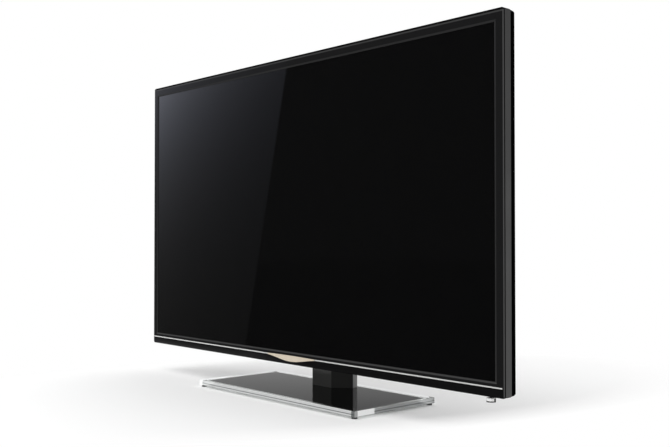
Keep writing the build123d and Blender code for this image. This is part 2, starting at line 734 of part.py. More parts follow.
# Finned heatsink on the processor
with BuildPart() as processor_heatsink:
    upright(BOARD_BACK + CHIP_T, HEATSINK_BASE_T, HEATSINK_W, HEATSINK_W, MAIN_X, CHIP_Z)
    fin_pitch = (HEATSINK_W - HEATSINK_FIN_T) / (HEATSINK_FINS - 1)
    with BuildSketch(behind(BOARD_BACK + CHIP_T + HEATSINK_BASE_T)):
        with Locations((MAIN_X, CHIP_Z)):
            with GridLocations(fin_pitch, HEATSINK_W, HEATSINK_FINS, 1):
                Rectangle(HEATSINK_FIN_T, HEATSINK_W)
    extrude(amount=-HEATSINK_FIN_D)
processor_heatsink.part.label = "processor_heatsink"
export_step(processor_heatsink.part, "parts/processor_heatsink.step")

# Power board with its transformers and capacitors, over an insulating sheet
with BuildPart() as power_board:
    upright(BOARD_DEPTH, PCB_T, BOARD_W, BOARD_H, BOARD_X, BOARD_Z)
    for sign in (-1, 1):
        upright(BOARD_BACK, TRANSFORMER_D, TRANSFORMER_W, TRANSFORMER_H,
                BOARD_X - BOARD_W / 5, BOARD_Z + sign * BOARD_H / 4)
    rods(BOARD_BACK, CAPACITOR_L, CAPACITOR_R,
         [(BOARD_X + BOARD_W / 5, BOARD_Z + step * CAPACITOR_PITCH) for step in (-1, 0, 1)])
    rods(BOARD_DEPTH, PCB_T, BOARD_SCREW_R + RUNNING,
         [place for place in BOARD_POSTS if place[0] > 0], Mode.SUBTRACT)
power_board.part.label = "power_board"
export_step(power_board.part, "parts/power_board.step")

with BuildPart() as power_insulator:
    upright(BOARD_DEPTH - INSULATOR_T, INSULATOR_T, BOARD_W, BOARD_H - 4 * POST_INSET,
            BOARD_X, BOARD_Z)
power_insulator.part.label = "power_insulator"
export_step(power_insulator.part, "parts/power_insulator.step")

with BuildPart() as board_screws:
    rods(BOARD_BACK - BOARD_SCREW_L, BOARD_SCREW_L, BOARD_SCREW_R, BOARD_POSTS)
    rods(BOARD_BACK, BOARD_HEAD_H, BOARD_HEAD_R, BOARD_POSTS)
board_screws.part.label = "board_screws"
export_step(board_screws.part, "parts/board_screws.step")

# Ribbon from the main board up to the timing board, bent down to the chassis
LVDS_X = MAIN_X + BOARD_W / 2 - LVDS_INSET
LVDS_LOW = BOARD_Z + BOARD_H / 2 - HARNESS_PLUG_H
LVDS_TURN = BOARD_Z + BOARD_H / 2 + GAP + POST_INSET
LVDS_HIGH = TCON_Z - TCON_H / 3
LVDS_UPPER_Y = FRONT_Y + BOARD_BACK + RIBBON_T / 2
LVDS_LOWER_Y = FRONT_Y + RIBBON_DEPTH + RIBBON_T / 2
with BuildPart() as lvds_ribbon:
    with BuildSketch(Plane.YZ.offset(LVDS_X - RIBBON_W / 2)):
        with BuildLine():
            Polyline(
                (LVDS_UPPER_Y, LVDS_LOW),
                (LVDS_UPPER_Y, LVDS_TURN),
                (LVDS_LOWER_Y, LVDS_TURN + POST_INSET),
                (LVDS_LOWER_Y, LVDS_HIGH),
            )
        trace(line_width=RIBBON_T)
    extrude(amount=RIBBON_W)
lvds_ribbon.part.label = "lvds_ribbon"
export_step(lvds_ribbon.part, "parts/lvds_ribbon.step")

# Flat bundle that carries power across to the main board
HARNESS_Z = BOARD_Z
HARNESS_SPAN = 2 * (BOARD_X - BOARD_W / 2) + 2 * HARNESS_PLUG_H
with BuildPart() as power_harness:
    upright(BOARD_BACK, HARNESS_T, HARNESS_SPAN, HARNESS_W, 0, HARNESS_Z)
power_harness.part.label = "power_harness"
export_step(power_harness.part, "parts/power_harness.step")

# Rear cover: sloped rim, shoulder and electronics bulge with two socket notches
FRAME_RECT = (FRAME_W, FRAME_H, FRAME_Z, FRAME_CORNER_R)
RIM_RECT = (FRAME_W - 2 * RIM_INSET, FRAME_H - 2 * RIM_INSET, FRAME_Z, RIM_R)
FLAT_RECT = (
    FRAME_W - 2 * RIM_INSET - 2 * SHOULDER_INSET,
    FRAME_H - 2 * RIM_INSET - 2 * SHOULDER_INSET,
    FRAME_Z,
    SHOULDER_R,
)
BULGE_RECT = (BULGE_W, BULGE_H, BULGE_Z, BULGE_R)
BULGE_BACK_RECT = (BULGE_W - 2 * BULGE_DRAFT, BULGE_H - 2 * BULGE_DRAFT, BULGE_Z, BULGE_R)
NOTCHES = ((-1, PORT_NOTCH_H), (1, MAINS_NOTCH_H))


def shrunk(rect, wall):
    """A rounded rectangle drawn in by a wall on every side."""
    width, height, z, radius = rect
    return width - 2 * wall, height - 2 * wall, z, radius - wall / 2


def cover_form(wall, shift):
    """The cover's outer form, or the space inside its wall."""
    frustum(COVER_DEPTH - shift, shrunk(FRAME_RECT, wall), RIM_D, shrunk(RIM_RECT, wall))
    frustum(RIM_END - shift, shrunk(RIM_RECT, wall), SHOULDER_D, shrunk(FLAT_RECT, wall))
    frustum(FLAT_DEPTH - shift, shrunk(BULGE_RECT, wall), BULGE_D, shrunk(BULGE_BACK_RECT, wall))
    for side, height in NOTCHES:
        upright(FLAT_DEPTH - shift, BULGE_D + OVERRUN, NOTCH_W + wall + OVERRUN,
                height + 2 * wall, side * (NOTCH_WALL_X - wall + (NOTCH_W + wall + OVERRUN) / 2),
                NOTCH_BOTTOM + height / 2, mode=Mode.SUBTRACT)


with BuildPart() as cover_outside:
    cover_form(0, 0)

with BuildPart() as cover_space:
    cover_form(COVER_T, COVER_T)

# Screw wells reach in from the back and follow the cover's outer form
with BuildPart() as cover_wells:
    rods(COVER_DEPTH, FLAT_DEPTH - COVER_DEPTH, COVER_WELL_R + COVER_WELL_WALL, COVER_SCREWS)
    add(cover_outside.part, mode=Mode.INTERSECT)

NECK_BOLTS = corners(0, FRAME_BOTTOM + PAD_LIFT + PAD_H / 2, NECK_BOLT_X, NECK_BOLT_Z)
WALL_POINTS = corners(0, FRAME_BOTTOM + WALL_LIFT, WALL_PITCH, WALL_PITCH)
VENT_Z = BULGE_Z + BULGE_H / 2 - BULGE_DRAFT - VENT_TOP_INSET - VENT_H / 2
GRILLE_DEPTH = CHASSIS_BACK + GROMMET_T + SPEAKER_D / 2
PORT_Z = NOTCH_BOTTOM + PORT_NOTCH_H / 2
PORT_SPAN = PORT_NOTCH_H - 2 * PORT_APERTURE_MARGIN
PORT_CENTRE = BOARD_BACK - GAP + PORT_APERTURE_D / 2
MAINS_Z = NOTCH_BOTTOM + MAINS_NOTCH_H / 2
MAINS_CENTRE = FLAT_DEPTH + BULGE_D / 2
with BuildPart() as rear_cover:
    add(cover_outside.part)
    add(cover_space.part, mode=Mode.SUBTRACT)
    add(cover_wells.part)
    rods(COVER_SEAT, FLAT_DEPTH - COVER_SEAT, COVER_WELL_R, COVER_SCREWS, Mode.SUBTRACT)
    rods(COVER_DEPTH - OVERRUN, COVER_SEAT_D + 2 * OVERRUN, COVER_SCREW_R + GAP, COVER_SCREWS,
         Mode.SUBTRACT)
    rods(BULGE_DEPTH - COVER_T - OVERRUN, COVER_T + 2 * OVERRUN,
         NECK_BOLT_R + NECK_HOLE_CLEARANCE, NECK_BOLTS, Mode.SUBTRACT)
    rods(BULGE_DEPTH - COVER_T - OVERRUN, COVER_T + 2 * OVERRUN,
         STANDOFF_R + STANDOFF_HOLE_CLEARANCE, WALL_POINTS, Mode.SUBTRACT)
    with BuildSketch(behind(BULGE_DEPTH + OVERRUN)):
        with Locations((0, VENT_Z)):
            with GridLocations(VENT_PITCH, VENT_H, VENT_COUNT, 1):
                Rectangle(VENT_W, VENT_H)
    extrude(amount=COVER_T + 2 * OVERRUN, mode=Mode.SUBTRACT)
    with BuildSketch(Plane.XY.offset(FRAME_BOTTOM + BULGE_LIFT - OVERRUN)):
        for side in (-1, 1):
            with Locations((side * SPEAKER_X, FRONT_Y + GRILLE_DEPTH)):
                with GridLocations(GRILLE_PITCH, GRILLE_L, GRILLE_COUNT, 1):
                    Rectangle(GRILLE_W, GRILLE_L)
    extrude(amount=OVERRUN + COVER_T + BULGE_DRAFT, mode=Mode.SUBTRACT)
    upright(PORT_CENTRE - PORT_APERTURE_D / 2, PORT_APERTURE_D, COVER_T + 2 * OVERRUN, PORT_SPAN,
            -NOTCH_WALL_X + COVER_T / 2, PORT_Z, mode=Mode.SUBTRACT)
    upright(MAINS_CENTRE - MAINS_D / 2 - RUNNING, MAINS_D + 2 * RUNNING, COVER_T + 2 * OVERRUN,
            MAINS_W + 2 * RUNNING, NOTCH_WALL_X - COVER_T / 2, MAINS_Z, mode=Mode.SUBTRACT)
rear_cover.part.label = "rear_cover"
export_step(rear_cover.part, "parts/rear_cover.step")

with BuildPart() as cover_screws:
    rods(COVER_SEAT - COVER_SCREW_L, COVER_SCREW_L, COVER_SCREW_R, COVER_SCREWS)
    rods(COVER_SEAT, COVER_HEAD_H, COVER_HEAD_R, COVER_SCREWS)
cover_screws.part.label = "cover_screws"
export_step(cover_screws.part, "parts/cover_screws.step")

# Threaded steel standoffs for a wall mount
STANDOFF_END = BULGE_DEPTH - STANDOFF_RECESS
with BuildPart() as wall_standoffs:
    rods(CHASSIS_BACK, STANDOFF_END - CHASSIS_BACK, STANDOFF_R, WALL_POINTS)
    rods(STANDOFF_END - WALL_THREAD_L, WALL_THREAD_L + OVERRUN, WALL_THREAD_R, WALL_POINTS,
         Mode.SUBTRACT)
wall_standoffs.part.label = "wall_standoffs"
export_step(wall_standoffs.part, "parts/wall_standoffs.step")

# Side-facing sockets on the main board, behind a steel plate
SOCKET_FACE_X = -(NOTCH_WALL_X - SOCKET_PROUD)


def socket_z(share):
    """Height of a socket that stands at a share of the port opening."""
    return PORT_Z + (share - 1 / 2) * PORT_SPAN


def side_block(x, length, depth, thickness, z, height, mode=Mode.ADD):
    """A block that runs from x towards +X."""
    with BuildSketch(Plane.YZ.offset(x)) as outline:
        with Locations((FRONT_Y + depth + thickness / 2, z)):
            Rectangle(thickness, height)
    extrude(outline.sketch, amount=length, mode=mode)


def socket_row(shares, width, thickness, tongue_w, tongue_d):
    """Open steel shells with a tongue inside each."""
    inner_d = thickness - 2 * SOCKET_WALL
    for share in shares:
        side_block(SOCKET_FACE_X, SOCKET_L, BOARD_BACK, thickness, socket_z(share), width)
        side_block(SOCKET_FACE_X - OVERRUN, SOCKET_L + OVERRUN - SOCKET_WALL,
                   BOARD_BACK + SOCKET_WALL, inner_d, socket_z(share),
                   width - 2 * SOCKET_WALL, Mode.SUBTRACT)
        side_block(SOCKET_FACE_X + SOCKET_WALL, SOCKET_L - SOCKET_WALL,
                   BOARD_BACK + (thickness - tongue_d) / 2, tongue_d, socket_z(share), tongue_w)


PORT_CUTS = (
    [(share, HDMI_W, HDMI_D) for share in HDMI_SHARES]
    + [(share, USB_W, USB_D) for share in USB_SHARES]
    + [(LAN_SHARE, LAN_W, LAN_D), (HEADPHONE_SHARE, HEADPHONE_W, HEADPHONE_W)]
    + [(AERIAL_SHARE, 2 * AERIAL_R, 2 * AERIAL_R)]
)
PORT_PLATE_X = -(NOTCH_WALL_X - COVER_T - GAP)
with BuildPart() as port_plate:
    side_block(PORT_PLATE_X, PORT_PLATE_T, PORT_CENTRE - PORT_PLATE_D / 2, PORT_PLATE_D, PORT_Z,
               PORT_NOTCH_H)
    for share, width, thickness in PORT_CUTS:
        side_block(PORT_PLATE_X - OVERRUN, PORT_PLATE_T + 2 * OVERRUN, BOARD_BACK - GAP,
                   thickness + 2 * GAP, socket_z(share), width + 2 * GAP, Mode.SUBTRACT)
port_plate.part.label = "port_plate"
export_step(port_plate.part, "parts/port_plate.step")

with BuildPart() as hdmi_sockets:
    socket_row(HDMI_SHARES, HDMI_W, HDMI_D, HDMI_TONGUE_W, HDMI_TONGUE_D)
hdmi_sockets.part.label = "hdmi_sockets"
export_step(hdmi_sockets.part, "parts/hdmi_sockets.step")

with BuildPart() as usb_sockets:
    socket_row(USB_SHARES, USB_W, USB_D, USB_TONGUE_W, USB_TONGUE_D)
usb_sockets.part.label = "usb_sockets"
export_step(usb_sockets.part, "parts/usb_sockets.step")

with BuildPart() as lan_socket:
    side_block(SOCKET_FACE_X, SOCKET_L + LAN_WALL, BOARD_BACK, LAN_D, socket_z(LAN_SHARE), LAN_W)
    side_block(SOCKET_FACE_X - OVERRUN, SOCKET_L + OVERRUN, BOARD_BACK + LAN_WALL,
               LAN_D - 2 * LAN_WALL, socket_z(LAN_SHARE), LAN_W - 2 * LAN_WALL, Mode.SUBTRACT)
lan_socket.part.label = "lan_socket"
export_step(lan_socket.part, "parts/lan_socket.step")

with BuildPart() as headphone_socket:
    side_block(SOCKET_FACE_X, SOCKET_L, BOARD_BACK, HEADPHONE_W, socket_z(HEADPHONE_SHARE),
               HEADPHONE_W)
    with BuildSketch(Plane.YZ.offset(SOCKET_FACE_X)):
        with Locations((FRONT_Y + BOARD_BACK + HEADPHONE_W / 2, socket_z(HEADPHONE_SHARE))):
            Circle(HEADPHONE_R)
    extrude(amount=SOCKET_L - SOCKET_WALL, mode=Mode.SUBTRACT)
headphone_socket.part.label = "headphone_socket"
export_step(headphone_socket.part, "parts/headphone_socket.step")

# Aerial socket: a turned shell with its centre contact on a floor
with BuildPart() as aerial_socket:
    aerial_place = (FRONT_Y + BOARD_BACK + AERIAL_R, socket_z(AERIAL_SHARE))
    aerial_steps = (
        (0, SOCKET_L, AERIAL_R, Mode.ADD),
        (0, SOCKET_L - LAN_WALL, AERIAL_BORE_R, Mode.SUBTRACT),
        (LAN_WALL, SOCKET_L - LAN_WALL, AERIAL_PIN_R, Mode.ADD),
    )
    for start, length, radius, aerial_mode in aerial_steps:
        with BuildSketch(Plane.YZ.offset(SOCKET_FACE_X + start)):
            with Locations(aerial_place):
                Circle(radius)
        extrude(amount=length, mode=aerial_mode)
aerial_socket.part.label = "aerial_socket"
export_step(aerial_socket.part, "parts/aerial_socket.step")

# Two-pin mains inlet, snapped into the other notch's wall
with BuildPart() as mains_inlet:
    side_block(NOTCH_WALL_X - MAINS_L, MAINS_L, MAINS_CENTRE - MAINS_D / 2, MAINS_D, MAINS_Z,
               MAINS_W)
    side_block(NOTCH_WALL_X, MAINS_FLANGE, MAINS_CENTRE - MAINS_D / 2 - MAINS_FLANGE,
               MAINS_D + 2 * MAINS_FLANGE, MAINS_Z, MAINS_W + 2 * MAINS_FLANGE)
    with BuildSketch(Plane.YZ.offset(NOTCH_WALL_X + MAINS_FLANGE)):
        with Locations((FRONT_Y + MAINS_CENTRE, MAINS_Z)):
            SlotOverall(MAINS_MOUTH_W, MAINS_MOUTH_D, rotation=90)
    extrude(amount=-MAINS_MOUTH_L, mode=Mode.SUBTRACT)
    with BuildSketch(Plane.YZ.offset(NOTCH_WALL_X + MAINS_FLANGE - MAINS_MOUTH_L)):
        with Locations((FRONT_Y + MAINS_CENTRE, MAINS_Z)):
            with GridLocations(MAINS_D, MAINS_PIN_PITCH, 1, 2):
                Circle(MAINS_PIN_R)
    extrude(amount=MAINS_PIN_L)
mains_inlet.part.label = "mains_inlet"
export_step(mains_inlet.part, "parts/mains_inlet.step")

# Speakers fire down through the grilles in the bulge's lower wall
SPEAKER_DEPTH = CHASSIS_BACK + GROMMET_T
SPEAKER_Z = FRAME_BOTTOM + SPEAKER_LIFT + SPEAKER_H / 2
SPEAKER_BOTTOM = FRAME_BOTTOM + SPEAKER_LIFT
EAR_OFFSET = (SPEAKER_W + SPEAKER_EAR_W) / 2
for side, speaker_name in ((-1, "speaker_left"), (1, "speaker_right")):
    speaker_x = side * SPEAKER_X
    speaker_y = FRONT_Y + SPEAKER_DEPTH + SPEAKER_D / 2
    with BuildPart() as speaker:
        brick(SPEAKER_BOTTOM, SPEAKER_H, SPEAKER_W, SPEAKER_D, speaker_x, speaker_y,
              SPEAKER_CORNER_R)
        for end in (-1, 1):
            upright(SPEAKER_DEPTH, SPEAKER_EAR_T, SPEAKER_EAR_W + SPEAKER_CORNER_R,
                    SPEAKER_EAR_H, speaker_x + end * (EAR_OFFSET - SPEAKER_CORNER_R / 2),
                    SPEAKER_Z)
            rods(SPEAKER_DEPTH, SPEAKER_EAR_T, GROMMET_HOLE_R,
                 [(speaker_x + end * EAR_OFFSET, SPEAKER_Z)], Mode.SUBTRACT)
        with BuildSketch(Plane.XY.offset(SPEAKER_BOTTOM)):
            with Locations((speaker_x, speaker_y)):
                SlotOverall(DRIVER_W, DRIVER_D)
        extrude(amount=DRIVER_RECESS, mode=Mode.SUBTRACT)
        column(SPEAKER_BOTTOM + DRIVER_RECESS / 2, DRIVER_RECESS / 2, DRIVER_CONE_R,
               [(speaker_x, speaker_y)])
    speaker.part.label = speaker_name
    export_step(speaker.part, f"parts/{speaker_name}.step")

GROMMETS = [
    (side * SPEAKER_X + end * EAR_OFFSET, SPEAKER_Z) for side in (-1, 1) for end in (-1, 1)
]
with BuildPart() as speaker_grommets:
    rods(CHASSIS_BACK, GROMMET_T, GROMMET_R, GROMMETS)
    rods(CHASSIS_BACK, GROMMET_T, GROMMET_HOLE_R, GROMMETS, Mode.SUBTRACT)
speaker_grommets.part.label = "speaker_grommets"
export_step(speaker_grommets.part, "parts/speaker_grommets.step")

# Speaker leads lie on the main board's lower edge; the right one crosses under it
LEAD_Y = FRONT_Y + BOARD_BACK + LEAD_R
LEAD_START = SPEAKER_BOTTOM + SPEAKER_H
LEAD_CROSSING = BOARD_Z - BOARD_H / 2 - LEAD_R - 2 * GAP
LEAD_END = BOARD_Z - BOARD_H / 2 + 2 * LEAD_BEND_R
LEAD_SIDE_X = BOARD_X
LEAD_GAP_X = LEAD_BEND_R + 2 * LEAD_R
with BuildPart() as speaker_leads:
    column(LEAD_START, LEAD_END - LEAD_START, LEAD_R, [(-LEAD_SIDE_X, LEAD_Y)])
    with BuildLine() as right_route:
        FilletPolyline(
            (LEAD_SIDE_X, LEAD_Y, LEAD_START),
            (LEAD_SIDE_X, LEAD_Y, LEAD_CROSSING),
            (-LEAD_SIDE_X + LEAD_GAP_X, LEAD_Y, LEAD_CROSSING),
            (-LEAD_SIDE_X + LEAD_GAP_X, LEAD_Y, LEAD_END),
            radius=LEAD_BEND_R,
        )
    with BuildSketch(Plane(origin=right_route.line @ 0, z_dir=right_route.line % 0)):
        Circle(LEAD_R)
    sweep()
speaker_leads.part.label = "speaker_leads"
export_step(speaker_leads.part, "parts/speaker_leads.step")

# Infrared receiver board behind the accent
IR_DEPTH = BEZEL_T + GAP + IR_LENS_L
IR_Z = FRAME_BOTTOM + SKIRT_IN + GAP + IR_BOARD_H / 2
with BuildPart() as infrared_board:
    upright(IR_DEPTH, PCB_T, IR_BOARD_W, IR_BOARD_H, 0, IR_Z)
    rods(IR_DEPTH - IR_LENS_L, IR_LENS_L, IR_LENS_R, [(0, IR_Z)])
infrared_board.part.label = "infrared_board"
export_step(infrared_board.part, "parts/infrared_board.step")

# Joystick: a board on two posts, a housing, a press carrier, a tilting ring and the stick
HOUSING_BOTTOM = FRAME_BOTTOM + SKIRT_IN + GAP
HOUSING_H = STICK_BOARD_Z - HOUSING_BOTTOM
PLUNGER_BOTTOM = HOUSING_BOTTOM + 2 * GAP
PLUNGER_W = HOUSING_W - 2 * HOUSING_WALL - 2 * GAP
PLUNGER_D = HOUSING_D - 2 * HOUSING_WALL - 2 * GAP
WELL_W = PLUNGER_W - 2 * PLUNGER_WALL_X
WELL_D = PLUNGER_D - 2 * PLUNGER_WALL_Y
CRADLE_W = WELL_W - 2 * CRADLE_GAP_X
CRADLE_D = WELL_D - 2 * CRADLE_GAP_Y
CRADLE_BOTTOM = PIVOT_Z - CRADLE_H / 2

with BuildPart() as joystick_board:
    brick(STICK_BOARD_Z, STICK_BOARD_T, STICK_BOARD_W, STICK_BOARD_D, STICK_X, STICK_Y)
joystick_board.part.label = "joystick_board"
export_step(joystick_board.part, "parts/joystick_board.step")

with BuildPart() as joystick_housing:
    brick(HOUSING_BOTTOM, HOUSING_H, HOUSING_W, HOUSING_D, STICK_X, STICK_Y)
    brick(HOUSING_BOTTOM, HOUSING_H - HOUSING_ROOF, HOUSING_W - 2 * HOUSING_WALL,
          HOUSING_D - 2 * HOUSING_WALL, STICK_X, STICK_Y, mode=Mode.SUBTRACT)
joystick_housing.part.label = "joystick_housing"
export_step(joystick_housing.part, "parts/joystick_housing.step")


def cross_rod(radius, half_length, mode=Mode.ADD):
    """A round bar through the pivot, along X."""
    with BuildSketch(Plane.YZ.offset(STICK_X)) as outline:
        with Locations((STICK_Y, PIVOT_Z)):
            Circle(radius)
    extrude(outline.sketch, amount=half_length, both=True, mode=mode)


with BuildPart() as joystick_plunger:
    brick(PLUNGER_BOTTOM, PLUNGER_H, PLUNGER_W, PLUNGER_D, STICK_X, STICK_Y)
    brick(PLUNGER_BOTTOM, PLUNGER_H, WELL_W, WELL_D, STICK_X, STICK_Y, mode=Mode.SUBTRACT)
    cross_rod(TRUNNION_R + RUNNING, PLUNGER_W, Mode.SUBTRACT)
joystick_plunger.part.label = "joystick_plunger"
export_step(joystick_plunger.part, "parts/joystick_plunger.step")

with BuildPart() as joystick_cradle:
    cross_rod(TRUNNION_R, CRADLE_W / 2 + TRUNNION_L)
    brick(CRADLE_BOTTOM, CRADLE_H, CRADLE_W, CRADLE_D, STICK_X, STICK_Y)
    brick(CRADLE_BOTTOM, CRADLE_H, CRADLE_W - 2 * CRADLE_WALL_X, CRADLE_D - 2 * CRADLE_WALL_Y,
          STICK_X, STICK_Y, mode=Mode.SUBTRACT)
    rods(STICK_DEPTH - CRADLE_D, 2 * CRADLE_D, CROSS_PIN_R + RUNNING, [(STICK_X, PIVOT_Z)],
         Mode.SUBTRACT)
joystick_cradle.part.label = "joystick_cradle"
export_step(joystick_cradle.part, "parts/joystick_cradle.step")

CAP_TOP = FRAME_BOTTOM - CAP_DROP
STEM_BOTTOM = CAP_TOP - STEM_SEAT
with BuildPart() as joystick_stem:
    column(STEM_BOTTOM, PIVOT_Z + STEM_TOP - STEM_BOTTOM, STEM_R, [(STICK_X, STICK_Y)])
    rods(STICK_DEPTH - STEM_R - CROSS_PIN_L, 2 * (STEM_R + CROSS_PIN_L), CROSS_PIN_R,
         [(STICK_X, PIVOT_Z)])
joystick_stem.part.label = "joystick_stem"
export_step(joystick_stem.part, "parts/joystick_stem.step")

with BuildPart() as joystick_cap:
    column(CAP_TOP - CAP_H, CAP_H, CAP_R, [(STICK_X, STICK_Y)])
    fillet(joystick_cap.faces().sort_by(Axis.Z)[0].edges(), CAP_EDGE_R)
    column(STEM_BOTTOM, STEM_SEAT, STEM_R + RUNNING, [(STICK_X, STICK_Y)], Mode.SUBTRACT)
joystick_cap.part.label = "joystick_cap"
export_step(joystick_cap.part, "parts/joystick_cap.step")

# Hat-section steel bracket that takes the neck's load to the chassis
HAT_END = BULGE_DEPTH - COVER_T - GAP
HAT_Z = FRAME_BOTTOM + HAT_LIFT + HAT_H / 2
with BuildPart() as stand_bracket:
    upright(CHASSIS_BACK, HAT_T, HAT_W + 2 * HAT_FLANGE, HAT_H, 0, HAT_Z)
    upright(CHASSIS_BACK, HAT_END - CHASSIS_BACK, HAT_W, HAT_H, 0, HAT_Z)
    upright(CHASSIS_BACK, HAT_END - CHASSIS_BACK - HAT_T, HAT_W - 2 * HAT_T, HAT_H, 0, HAT_Z,
            mode=Mode.SUBTRACT)
    rods(HAT_END - 2 * HAT_T, 3 * HAT_T, NECK_BOLT_R + RUNNING, NECK_BOLTS, Mode.SUBTRACT)
stand_bracket.part.label = "stand_bracket"
export_step(stand_bracket.part, "parts/stand_bracket.step")

# Neck: steel channel with a pad at the cover and a foot flange on the glass
NECK_FRONT_Y = FRONT_Y + NECK_DEPTH
FACET_END_Y = NECK_FRONT_Y + NECK_FACET_D
NECK_BACK_Y = FACET_END_Y + NECK_SIDE_D
NECK_TOP = FRAME_BOTTOM + NECK_TOP_LIFT
NECK_H = NECK_TOP - BASE_TOP
FLANGE_Y = NECK_BACK_Y - NECK_T - FLANGE_BACK_GAP - FLANGE_D / 2
FLANGE_Z = BASE_TOP + FOOT_GASKET_T
CHANNEL_Y = FRONT_Y + BRACKET_DEPTH + BRACKET_D / 2
CHANNEL_H = NECK_TOP - NECK_T - GAP - FLANGE_Z
PAD_Z = FRAME_BOTTOM + PAD_LIFT + PAD_H / 2
BASE_SCREWS = corners(0, FLANGE_Y, BASE_SCREW_X, BASE_SCREW_Y)
with BuildPart() as neck_bracket:
    brick(FLANGE_Z, CHANNEL_H, BRACKET_W, BRACKET_D, 0, CHANNEL_Y)
    brick(FLANGE_Z, CHANNEL_H, BRACKET_W - 2 * STEEL_T, BRACKET_D, 0, CHANNEL_Y + STEEL_T,
          mode=Mode.SUBTRACT)
    brick(FLANGE_Z, FLANGE_T, FLANGE_W, FLANGE_D, 0, FLANGE_Y)
    upright(NECK_DEPTH, STEEL_T, PAD_W, PAD_H, 0, PAD_Z)
    rods(NECK_DEPTH - OVERRUN, 2 * STEEL_T + 2 * OVERRUN, NECK_BOLT_R + RUNNING, NECK_BOLTS,
         Mode.SUBTRACT)
    column(FLANGE_Z - OVERRUN, FLANGE_T + 2 * OVERRUN, BASE_SCREW_R + RUNNING, BASE_SCREWS,
           Mode.SUBTRACT)
neck_bracket.part.label = "neck_bracket"
export_step(neck_bracket.part, "parts/neck_bracket.step")

# Gloss half-hexagon cover round the neck, open at the back, with a window for the pad
with BuildPart() as neck_front_cover:
    with BuildSketch(Plane.XY.offset(BASE_TOP)):
        with BuildLine():
            Polyline(
                (-NECK_W / 2, FACET_END_Y),
                (-NECK_FACE_W / 2, NECK_FRONT_Y),
                (NECK_FACE_W / 2, NECK_FRONT_Y),
                (NECK_W / 2, FACET_END_Y),
                close=True,
            )
        make_face()
    extrude(amount=NECK_H)
    with BuildSketch(Plane.XY.offset(BASE_TOP)):
        with BuildLine():
            Polyline(
                (-NECK_W / 2, FACET_END_Y + NECK_SIDE_D),
                (-NECK_W / 2, FACET_END_Y),
                (-NECK_FACE_W / 2, NECK_FRONT_Y),
                (NECK_FACE_W / 2, NECK_FRONT_Y),
                (NECK_W / 2, FACET_END_Y),
                (NECK_W / 2, FACET_END_Y + NECK_SIDE_D),
                close=True,
            )
        make_face()
        offset(amount=-NECK_T, kind=Kind.INTERSECTION, mode=Mode.REPLACE)
    extrude(amount=NECK_H - NECK_T, mode=Mode.SUBTRACT)
    upright(NECK_DEPTH - OVERRUN, NECK_T + 2 * OVERRUN, PAD_W + 2 * GAP, PAD_H + 2 * GAP, 0,
            PAD_Z, mode=Mode.SUBTRACT)
neck_front_cover.part.label = "neck_front_cover"
export_step(neck_front_cover.part, "parts/neck_front_cover.step")

# Satin back of the neck, with rounded rear corners
BACK_COVER_D = NECK_SIDE_D - GAP
BACK_COVER_Y = NECK_BACK_Y - BACK_COVER_D / 2
with BuildPart() as neck_back_cover:
    brick(BASE_TOP, NECK_H, NECK_W, BACK_COVER_D, 0, BACK_COVER_Y)
    rear_uprights = neck_back_cover.edges().filter_by(Axis.Z).group_by(Axis.Y)[-1]
    fillet(rear_uprights, NECK_BACK_R)
    brick(BASE_TOP, NECK_H - NECK_T, NECK_W - 2 * NECK_T, BACK_COVER_D, 0,
          BACK_COVER_Y - NECK_T, mode=Mode.SUBTRACT)
neck_back_cover.part.label = "neck_back_cover"
export_step(neck_back_cover.part, "parts/neck_back_cover.step")

with BuildPart() as neck_bolts:
    rods(BRACKET_DEPTH + STEEL_T - NECK_BOLT_L, NECK_BOLT_L, NECK_BOLT_R, NECK_BOLTS)
    rods(BRACKET_DEPTH + STEEL_T, NECK_HEAD_H, NECK_HEAD_R, NECK_BOLTS)
neck_bolts.part.label = "neck_bolts"
export_step(neck_bolts.part, "parts/neck_bolts.step")

# Base: gasket, glass plate, printed underside, clamp plate, screws and feet
with BuildPart() as foot_gasket:
    brick(BASE_TOP, FOOT_GASKET_T, FLANGE_W, FLANGE_D, 0, FLANGE_Y)
    column(BASE_TOP, FOOT_GASKET_T, BASE_SCREW_R + GLASS_HOLE_CLEARANCE, BASE_SCREWS,
           Mode.SUBTRACT)
foot_gasket.part.label = "foot_gasket"
export_step(foot_gasket.part, "parts/foot_gasket.step")

with BuildPart() as glass_base:
    brick(FOOT_H, BASE_T, BASE_W, BASE_D, 0, 0, BASE_CORNER_R)
    flat_rims = glass_base.faces().filter_by(Axis.Z).edges()
    chamfer(flat_rims, BASE_CHAMFER)
    column(FOOT_H, BASE_T, BASE_SCREW_R + GLASS_HOLE_CLEARANCE, BASE_SCREWS, Mode.SUBTRACT)
glass_base.part.label = "glass_base"
export_step(glass_base.part, "parts/glass_base.step")

with BuildPart() as base_print:
    brick(FOOT_H - PRINT_T, PRINT_T, BASE_W - 2 * PRINT_BORDER, BASE_D - 2 * PRINT_BORDER, 0, 0)
    column(FOOT_H - PRINT_T, PRINT_T, BASE_SCREW_R + GLASS_HOLE_CLEARANCE, BASE_SCREWS,
           Mode.SUBTRACT)
base_print.part.label = "base_print"
export_step(base_print.part, "parts/base_print.step")

CLAMP_Z = FOOT_H - PRINT_T - CLAMP_T
HEAD_TAPER_H = CLAMP_T
with BuildPart() as clamp_plate:
    brick(CLAMP_Z, CLAMP_T, CLAMP_W, CLAMP_D, 0, FLANGE_Y, CLAMP_R)
    with Locations(*[(x, y, CLAMP_Z) for x, y in BASE_SCREWS]):
        Cone(BASE_HEAD_R + RUNNING, BASE_SCREW_R + RUNNING, HEAD_TAPER_H,
             align=(Align.CENTER, Align.CENTER, Align.MIN), mode=Mode.SUBTRACT)
clamp_plate.part.label = "clamp_plate"
export_step(clamp_plate.part, "parts/clamp_plate.step")

